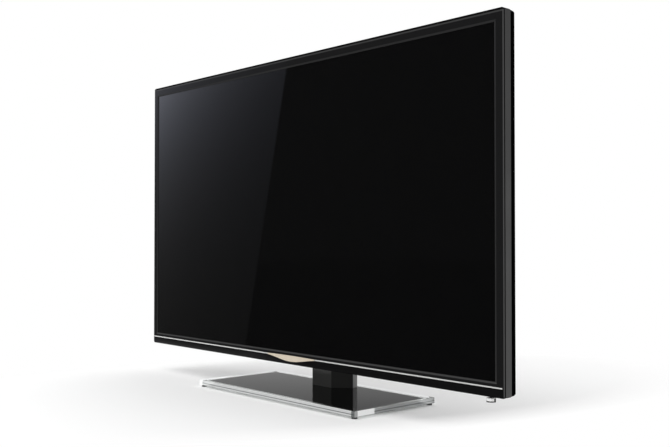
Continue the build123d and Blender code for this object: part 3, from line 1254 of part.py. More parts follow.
with BuildPart() as base_screws:
    with Locations(*[(x, y, CLAMP_Z) for x, y in BASE_SCREWS]):
        Cone(BASE_HEAD_R, BASE_SCREW_R, HEAD_TAPER_H,
             align=(Align.CENTER, Align.CENTER, Align.MIN))
    column(CLAMP_Z + CLAMP_T, FLANGE_Z + FLANGE_T + BASE_SCREW_UP - CLAMP_Z - CLAMP_T,
           BASE_SCREW_R, BASE_SCREWS)
base_screws.part.label = "base_screws"
export_step(base_screws.part, "parts/base_screws.step")

FEET = corners(0, 0, BASE_W - 2 * FOOT_INSET, BASE_D - 2 * FOOT_INSET)
with BuildPart() as rubber_feet:
    column(0, FOOT_H, FOOT_R, FEET)
    lower_rims = rubber_feet.faces().sort_by(Axis.Z)[: len(FEET)].edges()
    chamfer(lower_rims, FOOT_CHAMFER)
rubber_feet.part.label = "rubber_feet"
export_step(rubber_feet.part, "parts/rubber_feet.step")
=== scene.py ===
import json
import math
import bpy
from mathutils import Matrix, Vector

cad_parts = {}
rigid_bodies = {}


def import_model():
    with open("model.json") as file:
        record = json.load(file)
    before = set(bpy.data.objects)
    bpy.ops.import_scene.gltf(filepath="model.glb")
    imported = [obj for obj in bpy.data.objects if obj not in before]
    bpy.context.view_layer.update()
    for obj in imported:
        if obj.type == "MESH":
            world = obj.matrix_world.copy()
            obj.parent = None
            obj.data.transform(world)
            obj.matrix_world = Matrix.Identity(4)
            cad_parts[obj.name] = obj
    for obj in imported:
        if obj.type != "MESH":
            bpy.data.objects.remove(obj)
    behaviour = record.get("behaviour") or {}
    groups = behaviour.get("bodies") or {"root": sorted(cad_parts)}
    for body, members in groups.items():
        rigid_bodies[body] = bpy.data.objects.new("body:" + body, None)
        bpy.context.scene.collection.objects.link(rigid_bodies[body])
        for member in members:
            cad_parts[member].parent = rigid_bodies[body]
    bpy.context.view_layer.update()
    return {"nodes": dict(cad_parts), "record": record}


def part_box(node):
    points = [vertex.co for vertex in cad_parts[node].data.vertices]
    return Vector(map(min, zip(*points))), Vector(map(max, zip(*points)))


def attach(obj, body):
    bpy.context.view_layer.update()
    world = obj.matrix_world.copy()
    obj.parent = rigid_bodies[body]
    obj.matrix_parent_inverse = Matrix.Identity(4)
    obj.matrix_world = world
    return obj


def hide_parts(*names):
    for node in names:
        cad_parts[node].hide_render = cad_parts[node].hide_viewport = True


bl_info = {
    "name": "Flat screen television",
    "version": (1, 0, 0),
    "blender": (4, 5, 0),
    "location": "3D View > Sidebar > Television",
    "description": "Finished pieces, materials and a studio for a television on a glass base",
    "category": "Object",
}

import bmesh
import bpy
from bpy.props import FloatProperty, FloatVectorProperty, PointerProperty
from mathutils import Vector

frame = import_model()

MM = 0.001
SMOOTH_ANGLE = math.radians(40.0)
EASED_ANGLE = math.radians(35.0)
FLAT_ANGLE = math.radians(0.5)
SAME_WAY = 0.99
SAME_LEVEL = 0.02 * MM
SAME_POINT = 0.002 * MM
SHARP_EDGE = 0.02 * MM
CORNER_STEPS = 6
ROUND_SIDES = 64
MAIN_BODY = "television"
STICK_BODY = "stick"

X_AXIS, Y_AXIS, Z_AXIS = 0, 1, 2
FORWARD = Vector((0, -1, 0))
DOWN, UP = Vector((0, 0, -1)), Vector((0, 0, 1))
UPRIGHT = (math.pi / 2, 0.0, 0.0)
FLAT = (0.0, 0.0, 0.0)
EVEN = (1.0, 1.0, 1.0)


def grey(shade):
    """A colour with no hue."""
    return (shade, shade, shade)


WHITE, BLACK = grey(1.0), grey(0.0)


# Selecting and shaping

def deselect():
    """Leaves edit mode, with nothing selected."""
    if bpy.context.mode != "OBJECT":
        bpy.ops.object.mode_set(mode="OBJECT")
    bpy.ops.object.select_all(action="DESELECT")


def open_piece(name):
    """The primitive just added, named, with its place in its mesh, in edit mode."""
    piece = bpy.context.active_object
    piece.name = name
    piece.data.name = name
    bpy.ops.object.transform_apply(location=True, rotation=True, scale=True)
    bpy.ops.object.mode_set(mode="EDIT")
    return piece


def disc(name, centre, radius, height):
    """An upright round bar about a centre, to start a turned piece from."""
    deselect()
    bpy.ops.mesh.primitive_cylinder_add(
        vertices=ROUND_SIDES, radius=radius, depth=height, location=centre
    )
    return open_piece(name)


def pick(kind, rule):
    """Selects every face, edge or point that the rule accepts, and nothing else."""
    bpy.ops.mesh.select_mode(type=kind)
    bpy.ops.mesh.select_all(action="DESELECT")
    piece = bpy.context.edit_object
    mesh = bmesh.from_edit_mesh(piece.data)
    mesh.normal_update()
    items = {"FACE": mesh.faces, "EDGE": mesh.edges, "VERT": mesh.verts}[kind]
    chosen = [item for item in items if rule(item)]
    for item in chosen:
        item.select_set(True)
    mesh.select_flush_mode()
    bmesh.update_edit_mesh(piece.data)
    if not chosen:
        raise RuntimeError(f"{piece.name} has nothing there to shape")


def facing(direction):
    """Rule for the faces that look one way."""
    return lambda face: face.normal.dot(direction) > SAME_WAY


def level(axis, value):
    """Rule for the points that lie at one place on an axis."""
    return lambda point: abs(point.co[axis] - value) < SAME_LEVEL


def edges_level(axis, value):
    """Rule for the edges with both ends at one place on an axis."""
    at_level = level(axis, value)
    return lambda edge: all(at_level(end) for end in edge.verts)


def shift(x=0.0, y=0.0, z=0.0):
    """Moves what is selected."""
    bpy.ops.transform.translate(value=(x, y, z))


def pull(x=0.0, y=0.0, z=0.0):
    """Extrudes what is selected and moves the new end."""
    bpy.ops.mesh.extrude_region_move(TRANSFORM_OT_translate={"value": (x, y, z)})


def stretch(centre, x=1.0, y=1.0, z=1.0):
    """Scales what is selected about a centre."""
    bpy.ops.transform.resize(value=(x, y, z), center_override=centre)


def inset(thickness):
    """Draws the selected faces in by an even border."""
    bpy.ops.mesh.inset(thickness=thickness, use_even_offset=True)


def round_off(offset, segments):
    """Rounds the selected edges."""
    bpy.ops.mesh.bevel(offset=offset, segments=segments, profile=0.5, affect="EDGES")


def face_outwards():
    """Turns every face of the open piece outwards."""
    bpy.ops.mesh.select_all(action="SELECT")
    bpy.ops.mesh.normals_make_consistent(inside=False)


def close_piece(piece, slot, node=None, body=MAIN_BODY, finish=None):
    """Leaves edit mode, gives the piece its finish and seats it in the frame, where it takes
    the place of a node if one is named."""
    bpy.ops.object.mode_set(mode="OBJECT")
    bpy.ops.object.shade_smooth_by_angle(angle=SMOOTH_ANGLE)
    shading = piece.modifiers.new("shading", "WEIGHTED_NORMAL")
    shading.keep_sharp = True
    bpy.ops.object.modifier_apply(modifier="shading")
    piece.data.materials.clear()
    piece.data.materials.append(finish_for(finish or slot, node))
    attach(piece, body)
    if node:
        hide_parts(node)


def softened(node_name, slot, edge):
    """A copy of a node of the frame whose sharp edges are eased by small rounds."""
    deselect()
    node = frame["nodes"][node_name]
    node.select_set(True)
    bpy.context.view_layer.objects.active = node
    bpy.ops.object.duplicate()
    piece = bpy.context.active_object
    bpy.ops.object.parent_clear(type="CLEAR_KEEP_TRANSFORM")
    piece.name = f"{node_name}_finished"
    bpy.ops.object.mode_set(mode="EDIT")
    bpy.ops.mesh.select_all(action="SELECT")
    bpy.ops.mesh.remove_doubles(threshold=SAME_POINT)
    bpy.ops.mesh.dissolve_limited(angle_limit=FLAT_ANGLE)
    bpy.ops.object.mode_set(mode="OBJECT")
    rounding = piece.modifiers.new("edges", "BEVEL")
    rounding.width = edge
    rounding.segments = 2
    rounding.limit_method = "ANGLE"
    rounding.angle_limit = EASED_ANGLE
    bpy.ops.object.modifier_apply(modifier="edges")
    close_piece(piece, slot, node_name)


# Lofts over rounded rectangles

RINGS_APART = 0.5
KNEE_SHARE = 0.3
CORNER_SHARE = 0.9


def ring_numbers():
    """The open mesh and the layer that holds the number of each point's ring."""
    mesh = bmesh.from_edit_mesh(bpy.context.edit_object.data)
    return mesh, mesh.verts.layers.int.get("ring") or mesh.verts.layers.int.new("ring")


def pick_rings(*numbers):
    """Selects the edges that run within the numbered rings."""
    _, layer = ring_numbers()

    def in_one_ring(edge):
        start, end = edge.verts
        return start[layer] == end[layer] and start[layer] in numbers

    pick("EDGE", in_one_ring)


def add_ring(number, section, turn):
    """Turns the unit plane that was just added into an open ring with rounded corners."""
    centre, width, height, corner = section
    if turn == UPRIGHT:
        stretch(centre, x=width, z=height)
    else:
        stretch(centre, x=width, y=height)
    bpy.ops.mesh.select_mode(type="VERT")
    bpy.ops.mesh.bevel(offset=corner, segments=CORNER_STEPS, affect="VERTICES")
    mesh, layer = ring_numbers()
    for point in mesh.verts:
        if point[layer] == 0:
            point[layer] = number
    pick("FACE", lambda face: all(point[layer] == number for point in face.verts))
    bpy.ops.mesh.delete(type="ONLY_FACE")


def loft(name, sections, turn, closed=False):
    """A skin over sections, each a centre, a width, a height and a corner radius. It is capped
    at both ends, or closed from the last section to the first. The rings stand well apart while
    they are bridged, and then move to their places."""
    deselect()
    piece = None
    apart = RINGS_APART * (Vector((0.0, 1.0, 0.0)) if turn == UPRIGHT else UP)
    for number, section in enumerate(sections, start=1):
        place = Vector(section[0]) + number * apart
        bpy.ops.mesh.primitive_plane_add(size=1.0, location=place, rotation=turn)
        if piece is None:
            piece = open_piece(name)
            bpy.ops.mesh.select_all(action="SELECT")
        add_ring(number, section, turn)
    last = len(sections)
    for number in range(1, last):
        pick_rings(number, number + 1)
        bpy.ops.mesh.bridge_edge_loops()
    if closed:
        pick_rings(last, 1)
        bpy.ops.mesh.bridge_edge_loops()
    else:
        for end in (1, last):
            pick_rings(end)
            bpy.ops.mesh.edge_face_add()
    for number in range(1, last + 1):
        _, layer = ring_numbers()
        pick("VERT", lambda point: point[layer] == number)
        bpy.ops.transform.translate(value=-number * apart)
    mesh, layer = ring_numbers()
    mesh.verts.layers.int.remove(layer)
    face_outwards()
    return piece


def plate(name, low, high, corner, edge, axis):
    """A plate across one axis, with rounded corners and soft edges on both of its faces."""
    centre = (low + high) / 2
    wide, tall = (X_AXIS, Y_AXIS) if axis == Z_AXIS else (X_AXIS, Z_AXIS)
    knee = KNEE_SHARE * edge
    sections = []
    for place, drawn_in in (
        (low[axis], edge), (low[axis] + knee, knee), (low[axis] + edge, 0.0),
        (high[axis] - edge, 0.0), (high[axis] - knee, knee), (high[axis], edge),
    ):
        middle = centre.copy()
        middle[axis] = place
        sections.append((
            middle, high[wide] - low[wide] - 2 * drawn_in, high[tall] - low[tall] - 2 * drawn_in,
            corner - CORNER_SHARE * drawn_in,
        ))
    return loft(name, sections, FLAT if axis == Z_AXIS else UPRIGHT)


# Shader maths

def joined(operation, turned=False):
    """A way to join two terms by one operation, the other way round where it is turned."""

    def join(first, second):
        terms = (second, first) if turned else (first, second)
        return first.maths(operation, *terms)

    return join


class Value:
    """A number that varies over a surface, used in sums as a plain number is."""

    __add__, __radd__ = joined("ADD"), joined("ADD", turned=True)
    __sub__, __rsub__ = joined("SUBTRACT"), joined("SUBTRACT", turned=True)
    __mul__, __rmul__ = joined("MULTIPLY"), joined("MULTIPLY", turned=True)
    __truediv__, __pow__ = joined("DIVIDE"), joined("POWER")
    lowest, highest = joined("MINIMUM"), joined("MAXIMUM")

    def __init__(self, maker, socket):
        self.maker = maker
        self.socket = socket

    def maths(self, operation, *terms):
        return self.maker.value("ShaderNodeMath", dict(enumerate(terms)), operation=operation)

    def __abs__(self):
        return self.maths("ABSOLUTE", self)

    def power_of_e(self):
        return self.maths("EXPONENT", self)

    def between(self, start, end):
        """0 up to start and 1 from end on, with a straight ramp between. It runs down the
        axis where end is the lower."""
        inputs = {"Value": self, "From Min": start, "From Max": end}
        return self.maker.value("ShaderNodeMapRange", inputs, clamp=True)


class Finish:
    """The nodes of one material, or of the world, while they are put together."""

    def __init__(self, owner, constants=None):
        self.owner = owner
        owner.use_nodes = True
        self.tree = owner.node_tree
        self.tree.nodes.clear()
        if constants is None:
            return
        self.shader = self.node("ShaderNodeBsdfPrincipled", constants)
        self.output = self.node("ShaderNodeOutputMaterial")
        self.show(self.shader)

    def node(self, kind, inputs=None, **settings):
        """A node of any type, with its settings made first and then its values and links."""
        node = self.tree.nodes.new(kind)
        for name, setting in settings.items():
            setattr(node, name, setting)
        for key, entry in (inputs or {}).items():
            self.feed(node, key, entry)
        return node

    def feed(self, node, key, entry):
        """Gives one socket a value, a colour or a link."""
        if isinstance(key, int):
            socket = node.inputs[key]
        else:
            socket = next(s for s in node.inputs if s.identifier == key)
        if isinstance(entry, Value):
            self.link(entry.socket, socket)
        elif hasattr(entry, "links"):
            self.link(entry, socket)
        elif socket.type == "RGBA":
            socket.default_value = (*entry[:3], 1.0)
        else:
            socket.default_value = entry

    def link(self, start, end):
        self.tree.links.new(start, end)

    def show(self, shader):
        """Makes a shader the one that the surface has."""
        self.link(shader.outputs[0], self.output.inputs["Surface"])

    def mixed(self, share, first, second):
        """A shader from first to second as the share goes from 0 to 1."""
        shaders = {1: first.outputs[0], 2: second.outputs[0]}
        return self.node("ShaderNodeMixShader", {0: share, **shaders})

    def matt(self, colour):
        """A shader with no shine."""
        return self.node("ShaderNodeBsdfDiffuse", {"Color": colour})

    def emission(self, strength, colour=WHITE):
        """A shader that glows."""
        return self.node("ShaderNodeEmission", {"Color": colour, "Strength": strength})

    def value(self, kind, inputs, **settings):
        """The first result of a node, as a value."""
        return Value(self, self.node(kind, inputs, **settings).outputs[0])

    def rays(self, kind):
        """1 on rays of one kind and 0 on others."""
        return Value(self, self.node("ShaderNodeLightPath").outputs[f"Is {kind} Ray"])

    def spot(self, scale=EVEN):
        """The place on the piece, stretched by a scale."""
        place = self.node("ShaderNodeTexCoord").outputs["Object"]
        if scale == EVEN:
            return place
        return self.node("ShaderNodeMapping", {"Vector": place, "Scale": scale}).outputs[0]

    def parts(self, place):
        """A place or direction as three values."""
        parted = self.node("ShaderNodeSeparateXYZ", {"Vector": place}).outputs
        return [Value(self, part) for part in parted]

    def axes(self):
        """The place on the piece as three values."""
        return self.parts(self.spot())

    def noise(self, size, detail=3.0, roughness=0.55, scale=EVEN):
        """Cloudy noise whose patches are about one size, in metres."""
        place = self.spot(scale)
        inputs = {"Vector": place, "Scale": 1.0 / size, "Detail": detail, "Roughness": roughness}
        return self.value("ShaderNodeTexNoise", inputs)

    def cells(self, size):
        """Distance from the middle of each of many cells of about one size, in metres."""
        return self.value("ShaderNodeTexVoronoi", {"Vector": self.spot(), "Scale": 1.0 / size})

    def blend(self, share, first, second):
        """A colour from first to second as the share goes from 0 to 1."""
        inputs = {"Factor_Float": share, "A_Color": first, "B_Color": second}
        return self.node("ShaderNodeMix", inputs, data_type="RGBA").outputs[2]

    def colour(self, entry):
        self.feed(self.shader, "Base Color", entry)

    def tinted(self, share, colour, first, second):
        """Base colour from one tint of a colour to another as the share goes from 0 to 1."""
        self.colour(self.blend(share, tint(colour, first), tint(colour, second)))

    def roughness(self, entry):
        self.feed(self.shader, "Roughness", entry)

    def bump(self, height, depth, strength):
        """Raises the surface by a height from 0 to 1, times a depth in metres."""
        inputs = {"Height": height, "Distance": depth, "Strength": strength}
        self.feed(self.shader, "Normal", self.node("ShaderNodeBump", inputs).outputs[0])


def shaded(name, constants):
    """The finish of a new material, from the fixed values of its shader."""
    return Finish(bpy.data.materials.new(name), constants)


def tint(colour, share):
    """A colour made lighter or darker by a share of itself."""
    return tuple(min(1.0, part * share) for part in colour)


# Finishes

# Each fade is where a zone starts and where it is full, from an edge or line of its piece
TOP_HIGHLIGHT_DROP = 4.8 * MM
TOP_HIGHLIGHT_FADE = (1.4 * MM, 1.0 * MM)
TOP_RIM_SHADE_FADE = (-3.8 * MM, -3.5 * MM)
SILL_HIGHLIGHT_FADE = (-0.4 * MM, -1.0 * MM)
FACET_HIGHLIGHT_FADE = (-0.05 * MM, 0.05 * MM)
LIP_FADE = (0.1 * MM, 0.0)
TRIM_SHADE_FADE = (0.05 * MM, -0.35 * MM)
BEHIND_EDGE_SHADE_FADE = (0.05 * MM, 0.15 * MM)
RIM_SHADE_FADE = (-0.3 * MM, 2.9 * MM)
NECK_FOLD = 26.8 * MM
NECK_FOLD_SHADE_FADE = (-0.6 * MM, 0.6 * MM)

GLASS_FLANK_FADE = (-0.9 * MM, -0.5 * MM)
GLASS_SIDE_FADE = (-1.2 * MM, -0.6 * MM)
GLASS_TOP_FADE = (-1.0 * MM, -0.6 * MM)
GLASS_NEAR_FADE = (-50.0 * MM, -54.0 * MM)
GLASS_DARK_LINE_HEIGHT = 4.8 * MM
GLASS_DARK_LINE_FADE = (1.0 * MM, 0.4 * MM)
GLASS_FOOT_DARK_LINE_FADE = (1.4 * MM, 0.8 * MM)
GLASS_CORNER_SHADE_FADE = (-8.3 * MM, -6.8 * MM)
GLASS_TIP_FADE = (-15.8 * MM, -13.3 * MM)
INK_BACK_GLOW_FADE = (0.5 * MM, 2.5 * MM)
INK_LEFT_GLOW_FADE = (-0.7 * MM, -3.2 * MM)


def wiped(finish):
    """Hairline wipe marks over a slow drift, as a fine relief. Returns the roughness."""
    drift = finish.noise(90 * MM, 2.0)
    hairs = finish.noise(3 * MM, 2.0, 0.5, (0.04, 1.0, 1.0)).between(0.62, 0.78)
    finish.bump(hairs * 0.4 + drift, 0.02 * MM, 0.25)
    return 0.10 + 0.05 * drift + 0.05 * hairs


def gloss_plastic(name, colour):
    """Polished black moulding: a soft drift in its shine, hairline wipe marks and dust."""
    finish = shaded(name, {"IOR": 1.5, "Specular IOR Level": 0.45})
    dust = finish.cells(2.6 * MM).between(0.10, 0.04)
    finish.tinted(dust * 0.10, colour, 1.0, 6.0)
    finish.roughness(wiped(finish) + 0.12 * dust)
    return finish.owner


def bezel_gloss(name, colour, satin):
    """Polished front with a satin lip; painted highlight on lip, facet and top line, painted
    shade on the rim.
    """
    sizes = bpy.context.scene.television_bezel
    low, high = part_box("front_bezel")
    trim_low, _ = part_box("trim_strip_left")
    side, foot, head = opening_edges(sizes)
    finish = shaded(name, {"IOR": 1.5, "Specular IOR Level": 0.08})
    x, y, z = finish.axes()
    # Painted highlight: the edge facet, a line along the top and the lip are lighter, the bottom
    # lip most; the lip is also a real satin band
    facet = (abs(x) - (high.x - sizes.edge)).between(*FACET_HIGHLIGHT_FADE)
    line = abs(z - (high.z - TOP_HIGHLIGHT_DROP)).between(*TOP_HIGHLIGHT_FADE) * 0.6
    past_side = abs(x) - (side + sizes.lip_width)
    past_level = abs(z - (foot + head) / 2) - ((head - foot) / 2 + sizes.lip_width)
    lip = past_side.highest(past_level).between(*LIP_FADE)
    lip_satin_and_highlight = 0.26 + 0.5 * (z - foot).between(*SILL_HIGHLIGHT_FADE)
    share = (facet + line + lip * lip_satin_and_highlight).lowest(1.0)
    # Painted shade: the bezel is darker over the whole strip below the trim
    painted_shade_below_trim = (z - trim_low.z).between(*TRIM_SHADE_FADE)
    dark = finish.blend(painted_shade_below_trim, colour, tint(colour, 0.6))
    finish.colour(finish.blend(share, dark, satin))
    finish.roughness(wiped(finish) + 0.25 * share)
    # Painted shade: a dead black matt copy on the rim at the top and behind the edge facet
    behind = (y - (low.y + sizes.edge_drop)).between(*BEHIND_EDGE_SHADE_FADE)
    top = (z - high.z).between(*TOP_RIM_SHADE_FADE)
    rim = finish.matt(grey(0.004))
    finish.show(finish.mixed(behind.highest(top), finish.shader, rim))
    return finish.owner


def moulded_plastic(name, colour, roughness):
    """Matt moulding: a spark-eroded grain, faint colour drift and a little handling shine."""
    finish = shaded(name, {"IOR": 1.47})
    drift = finish.noise(70 * MM, 3.0)
    speckle = finish.cells(0.9 * MM)
    worn = finish.noise(140 * MM, 1.0).between(0.55, 0.75)
    finish.tinted(drift, colour, 0.85, 1.18)
    finish.roughness(roughness + 0.10 * speckle - 0.08 * worn)
    finish.bump(speckle, 0.03 * MM, 0.5)
    return finish.owner


def brushed_metal(name, colour, roughness):
    """Drawn or brushed metal: fine lines along one way and a slow drift in shade."""
    finish = shaded(name, {"Metallic": 1.0})
    lines = finish.noise(0.35 * MM, 3.0, 0.6, (0.02, 1.0, 1.0))
    drift = finish.noise(60 * MM, 2.0)
    finish.tinted(lines * 0.6 + drift * 0.4, colour, 0.82, 1.1)
    finish.roughness(roughness + 0.14 * lines)
    finish.bump(lines, 0.01 * MM, 0.35)
    return finish.owner


def zinc_sheet(name, colour):
    """Zinc plated sheet: pale spangle cells and rolling lines."""
    finish = shaded(name, {"Metallic": 1.0})
    spangle = finish.cells(6 * MM)
    lines = finish.noise(0.6 * MM, 2.0, 0.5, (0.03, 1.0, 1.0))
    finish.tinted(spangle, colour, 0.8, 1.15)
    finish.roughness(0.30 + 0.2 * spangle + 0.1 * lines)
    finish.bump(lines, 0.01 * MM, 0.3)
    return finish.owner


def circuit_board(name, colour):
    """Lacquered board: paler tracks in a fine weave under a semi-gloss mask."""
    finish = shaded(name, {"IOR": 1.5})
    tracks = finish.cells(2.4 * MM).between(0.30, 0.36)
    weave = finish.noise(0.5 * MM, 1.0)
    finish.tinted(tracks * 0.6 + weave * 0.2, colour, 1.0, 1.9)
    finish.roughness(0.32 + 0.15 * weave)
    finish.bump(tracks, 0.03 * MM, 0.5)
    return finish.owner


def soft_rubber(name, colour):
    """Moulded rubber or foam: fine pits and a dusty bloom."""
    finish = shaded(name, {"IOR": 1.45})
    pits = finish.cells(0.8 * MM)
    bloom = finish.noise(9 * MM, 3.0)
    finish.tinted(bloom, colour, 1.0, 1.7)
    finish.roughness(0.72 + 0.2 * pits)
    finish.bump(pits, 0.05 * MM, 0.6)
    return finish.owner


def screen_face(name, colour):
    """The screen's front sheet: a clear hard coat over black, with the faintest mottle."""
    finish = shaded(name, {"IOR": 1.5, "Specular IOR Level": 0.5})
    mottle = finish.noise(45 * MM, 2.0)
    finish.tinted(mottle, colour, 0.8, 1.2)
    finish.roughness(0.03 + 0.02 * mottle)
    finish.bump(mottle, 0.01 * MM, 0.1)
    return finish.owner


def matt_black(name, colour):
    """Black moulding with an etched grain and a faint shine on its back; its rim is painted
    shade, dead matt.
    """
    finish = shaded(name, {"IOR": 1.45, "Specular IOR Level": 0.35})
    grain = finish.cells(0.9 * MM)
    drift = finish.noise(70 * MM, 3.0)
    finish.tinted(drift, colour, 0.8, 1.2)
    finish.roughness(0.48 + 0.15 * grain)
    finish.bump(grain, 0.04 * MM, 0.5)
    _, y, _ = finish.axes()
    _, band_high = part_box("side_band")
    # Painted shade: everything ahead of the back is a near-black matt copy of the colour
    back = (y - (band_high.y + RIM_DEPTH * MM)).between(*RIM_SHADE_FADE)
    finish.show(finish.mixed(back, finish.matt(tint(colour, 0.04)), finish.shader))
    return finish.owner


def neck_gloss(name, colour):
    """Polished black of the neck's folded cover, with painted shade making its side folds darker
    than its front.
    """
    finish = shaded(name, {"IOR": 1.5, "Specular IOR Level": 0.2})
    drift = finish.noise(40 * MM, 2.0)
    dust = finish.cells(2.2 * MM).between(0.10, 0.04)
    x, _, _ = finish.axes()
    # Painted shade: the side folds are darkened
    painted_fold_shade = (abs(x) - NECK_FOLD).between(*NECK_FOLD_SHADE_FADE)
    finish.tinted(painted_fold_shade + 0.2 * drift, colour, 1.0, 0.36)
    finish.roughness(0.09 + 0.04 * drift + 0.1 * dust)
    finish.bump(drift, 0.01 * MM, 0.2)
    return finish.owner


def satin_paint(name, colour, roughness, metallic=0.25):
    """Metallic paint: a bright base with fine flake and a slow drift in its shine."""
    finish = shaded(name, {"IOR": 1.5, "Metallic": metallic})
    flake = finish.cells(0.25 * MM)
    drift = finish.noise(35 * MM, 2.0)
    finish.tinted(flake * 0.5 + drift * 0.5, colour, 0.9, 1.08)
    finish.roughness(roughness + 0.10 * flake)
    finish.bump(flake, 0.004 * MM, 0.3)
    return finish.owner


def inked_panel(name, colour):
    """Ink bonded to the underside of the glass: no shine of its own, a fine screen grain."""
    finish = shaded(name, {"Specular IOR Level": 0.0})
    grain = finish.noise(0.8 * MM, 2.0)
    finish.tinted(grain, colour, 0.7, 1.3)
    finish.roughness(0.9 + 0.05 * grain)
    return finish.owner


def clear_glass(name, colour):
    """Thick clear plate: a faint green body and slight ripple. Its edges are pale bands of
    painted highlight with painted dark lines along them. The near end of each flank and the
    borders behind and to the left of the ink have a painted glow, and the near corner is painted
    shade."""
    low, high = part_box("glass_base")
    ink_low, ink_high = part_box("base_print")
    finish = shaded(name, {"IOR": 1.5, "Transmission Weight": 1.0})
    ripple = finish.noise(60 * MM, 1.0)
    finish.tinted(ripple, colour, 0.98, 1.0)
    finish.roughness(0.01 + 0.01 * ripple)
    x, y, z = finish.axes()
    # The near end of each flank gets painted glow and highlight; the rest of each flank painted
    # shade
    flank = (abs(x) - high.x).between(*GLASS_FLANK_FADE)
    near = y.between(*GLASS_NEAR_FADE)
    painted_flank_glow = flank * near
    # Painted dark lines along the edges and at the foot
    line = abs(z - (low.z + GLASS_DARK_LINE_HEIGHT)).between(*GLASS_DARK_LINE_FADE) * (1.0 - painted_flank_glow)
    lines = (line + (z - low.z).between(*GLASS_FOOT_DARK_LINE_FADE)).lowest(1.0)
    top = (z - high.z).between(*GLASS_TOP_FADE)
    body = (0.80 + 0.2 * top.highest(painted_flank_glow)) * (1.0 - 0.8 * lines)
    # Painted shade on the near corner
    corner = (x - y - (high.x - low.y)).between(*GLASS_CORNER_SHADE_FADE)
    painted_edge_streaks = finish.noise(5 * MM, 2.0, 0.5, (1.0, 1.0, 8.0)).between(0.3, 0.7)
    shade = body * (1.0 - 0.5 * flank * (1.0 - near)) * (1.0 - 0.85 * corner)
    # Painted glow on the borders behind and to the left of the ink
    tip = (x + y - (high.x + high.y)).between(*GLASS_TIP_FADE)
    behind = (y - ink_high.y).between(*INK_BACK_GLOW_FADE) * (1.0 - tip)
    far = (behind + (x - ink_low.x).between(*INK_LEFT_GLOW_FADE)).lowest(1.0)
    pale = (shade * (0.9 + 0.1 * painted_edge_streaks)).highest(far)
    # The pale edge shader: painted highlight in its colour and a painted glow, though it is no
    # lamp
    glow = finish.node("ShaderNodeBsdfPrincipled", {
        "Base Color": finish.blend(pale, (0.10, 0.11, 0.11), (0.96, 0.97, 0.97)),
        "Emission Color": finish.blend(far.highest(painted_flank_glow), BLACK, WHITE),
        "Emission Strength": 0.22,
        "Roughness": 1.0,
        "Specular IOR Level": 0.0,
    })
    side = (abs(x) - high.x).between(*GLASS_SIDE_FADE)
    side = (side + (abs(y) - high.y).between(*GLASS_SIDE_FADE)).lowest(1.0)
    edge = finish.mixed((side * 0.75).highest(far * 0.85), finish.shader, glow)
    shadow = finish.node("ShaderNodeBsdfTransparent", {"Color": (0.95, 0.97, 0.96)})
    finish.show(finish.mixed(finish.rays("Shadow"), edge, shadow))
    return finish.owner


FINISHES = {
    "gloss_black": (gloss_plastic, (0.010, 0.010, 0.011)),
    "satin_grey": (moulded_plastic, "band", 0.42),
    "bright_trim": (satin_paint, "trim", 0.30),
    "champagne": (satin_paint, "crescent", 0.32),
    "screen": (screen_face, "screen"),
    "foam": (soft_rubber, grey(0.02)),
    "frame_plastic": (moulded_plastic, grey(0.03), 0.5),
    "optic_film": (moulded_plastic, (0.82, 0.84, 0.85), 0.45),
    "reflector": (moulded_plastic, grey(0.9), 0.6),
    "board_white": (circuit_board, (0.55, 0.55, 0.52)),
    "lens": (moulded_plastic, (0.78, 0.80, 0.82), 0.15),
    "zinc_steel": (zinc_sheet, (0.62, 0.63, 0.64)),
    "board_green": (circuit_board, (0.02, 0.12, 0.05)),
    "flex": (moulded_plastic, (0.42, 0.20, 0.05), 0.35),
    "ribbon": (moulded_plastic, (0.75, 0.76, 0.78), 0.4),
    "heatsink": (brushed_metal, (0.55, 0.56, 0.57), 0.35),
    "lead": (moulded_plastic, grey(0.02), 0.45),
    "insulation": (moulded_plastic, (0.6, 0.6, 0.55), 0.4),
    "socket_metal": (brushed_metal, (0.66, 0.66, 0.65), 0.28),
    "socket_plastic": (moulded_plastic, grey(0.02), 0.4),
    "speaker_box": (moulded_plastic, grey(0.025), 0.5),
    "grommet": (soft_rubber, grey(0.02)),
    "cover_black": (matt_black, "cover"),
    "screw": (brushed_metal, grey(0.10), 0.38),
    "knob": (gloss_plastic, grey(0.05)),
    "stick_plastic": (moulded_plastic, grey(0.03), 0.4),
    "base_glass": (clear_glass, "glass"),
    "base_print": (inked_panel, "ink"),
    "neck_steel": (gloss_plastic, grey(0.012)),
    "foot": (soft_rubber, "feet"),
}
NODE_FINISHES = {
    "front_bezel": ("bezel_finish", bezel_gloss, "bezel", "bezel_satin"),
    "neck_front_cover": ("neck_front_finish", neck_gloss, "neck_front"),
    "neck_back_cover": ("neck_back_finish", satin_paint, "neck_back", 0.35, 0.0),
    "joystick_cap": ("knob_silver", satin_paint, "knob", 0.28, 0.0),
}


def looked_up(entry):
    """A value of a finish, from the panel's colours where it is the name of one of them."""
    if isinstance(entry, str):
        return tuple(getattr(bpy.context.scene.television_colours, entry))
    return entry


def finish_for(slot, node=None):
    """The material of one slot, or of one node, made when it is first asked for."""
    name, recipe, *entries = NODE_FINISHES.get(node) or (f"{slot}_finish", *FINISHES[slot])
    made = bpy.data.materials.get(name)
    return made or recipe(name, *[looked_up(entry) for entry in entries])


# Settings

def number_of(name, description, default, **kind):
    """A number that a user may change."""
    return FloatProperty(name=name, description=description, default=default, **kind)


def length_of(name, description, millimetres):
    """A length that a user may change."""
    return number_of(name, description, millimetres * MM, unit="LENGTH")


def colour_of(name, description, shade):
    """A colour that a user may change."""
    return FloatVectorProperty(
        name=name, description=description, default=shade, subtype="COLOR", min=0.0, max=1.0
    )


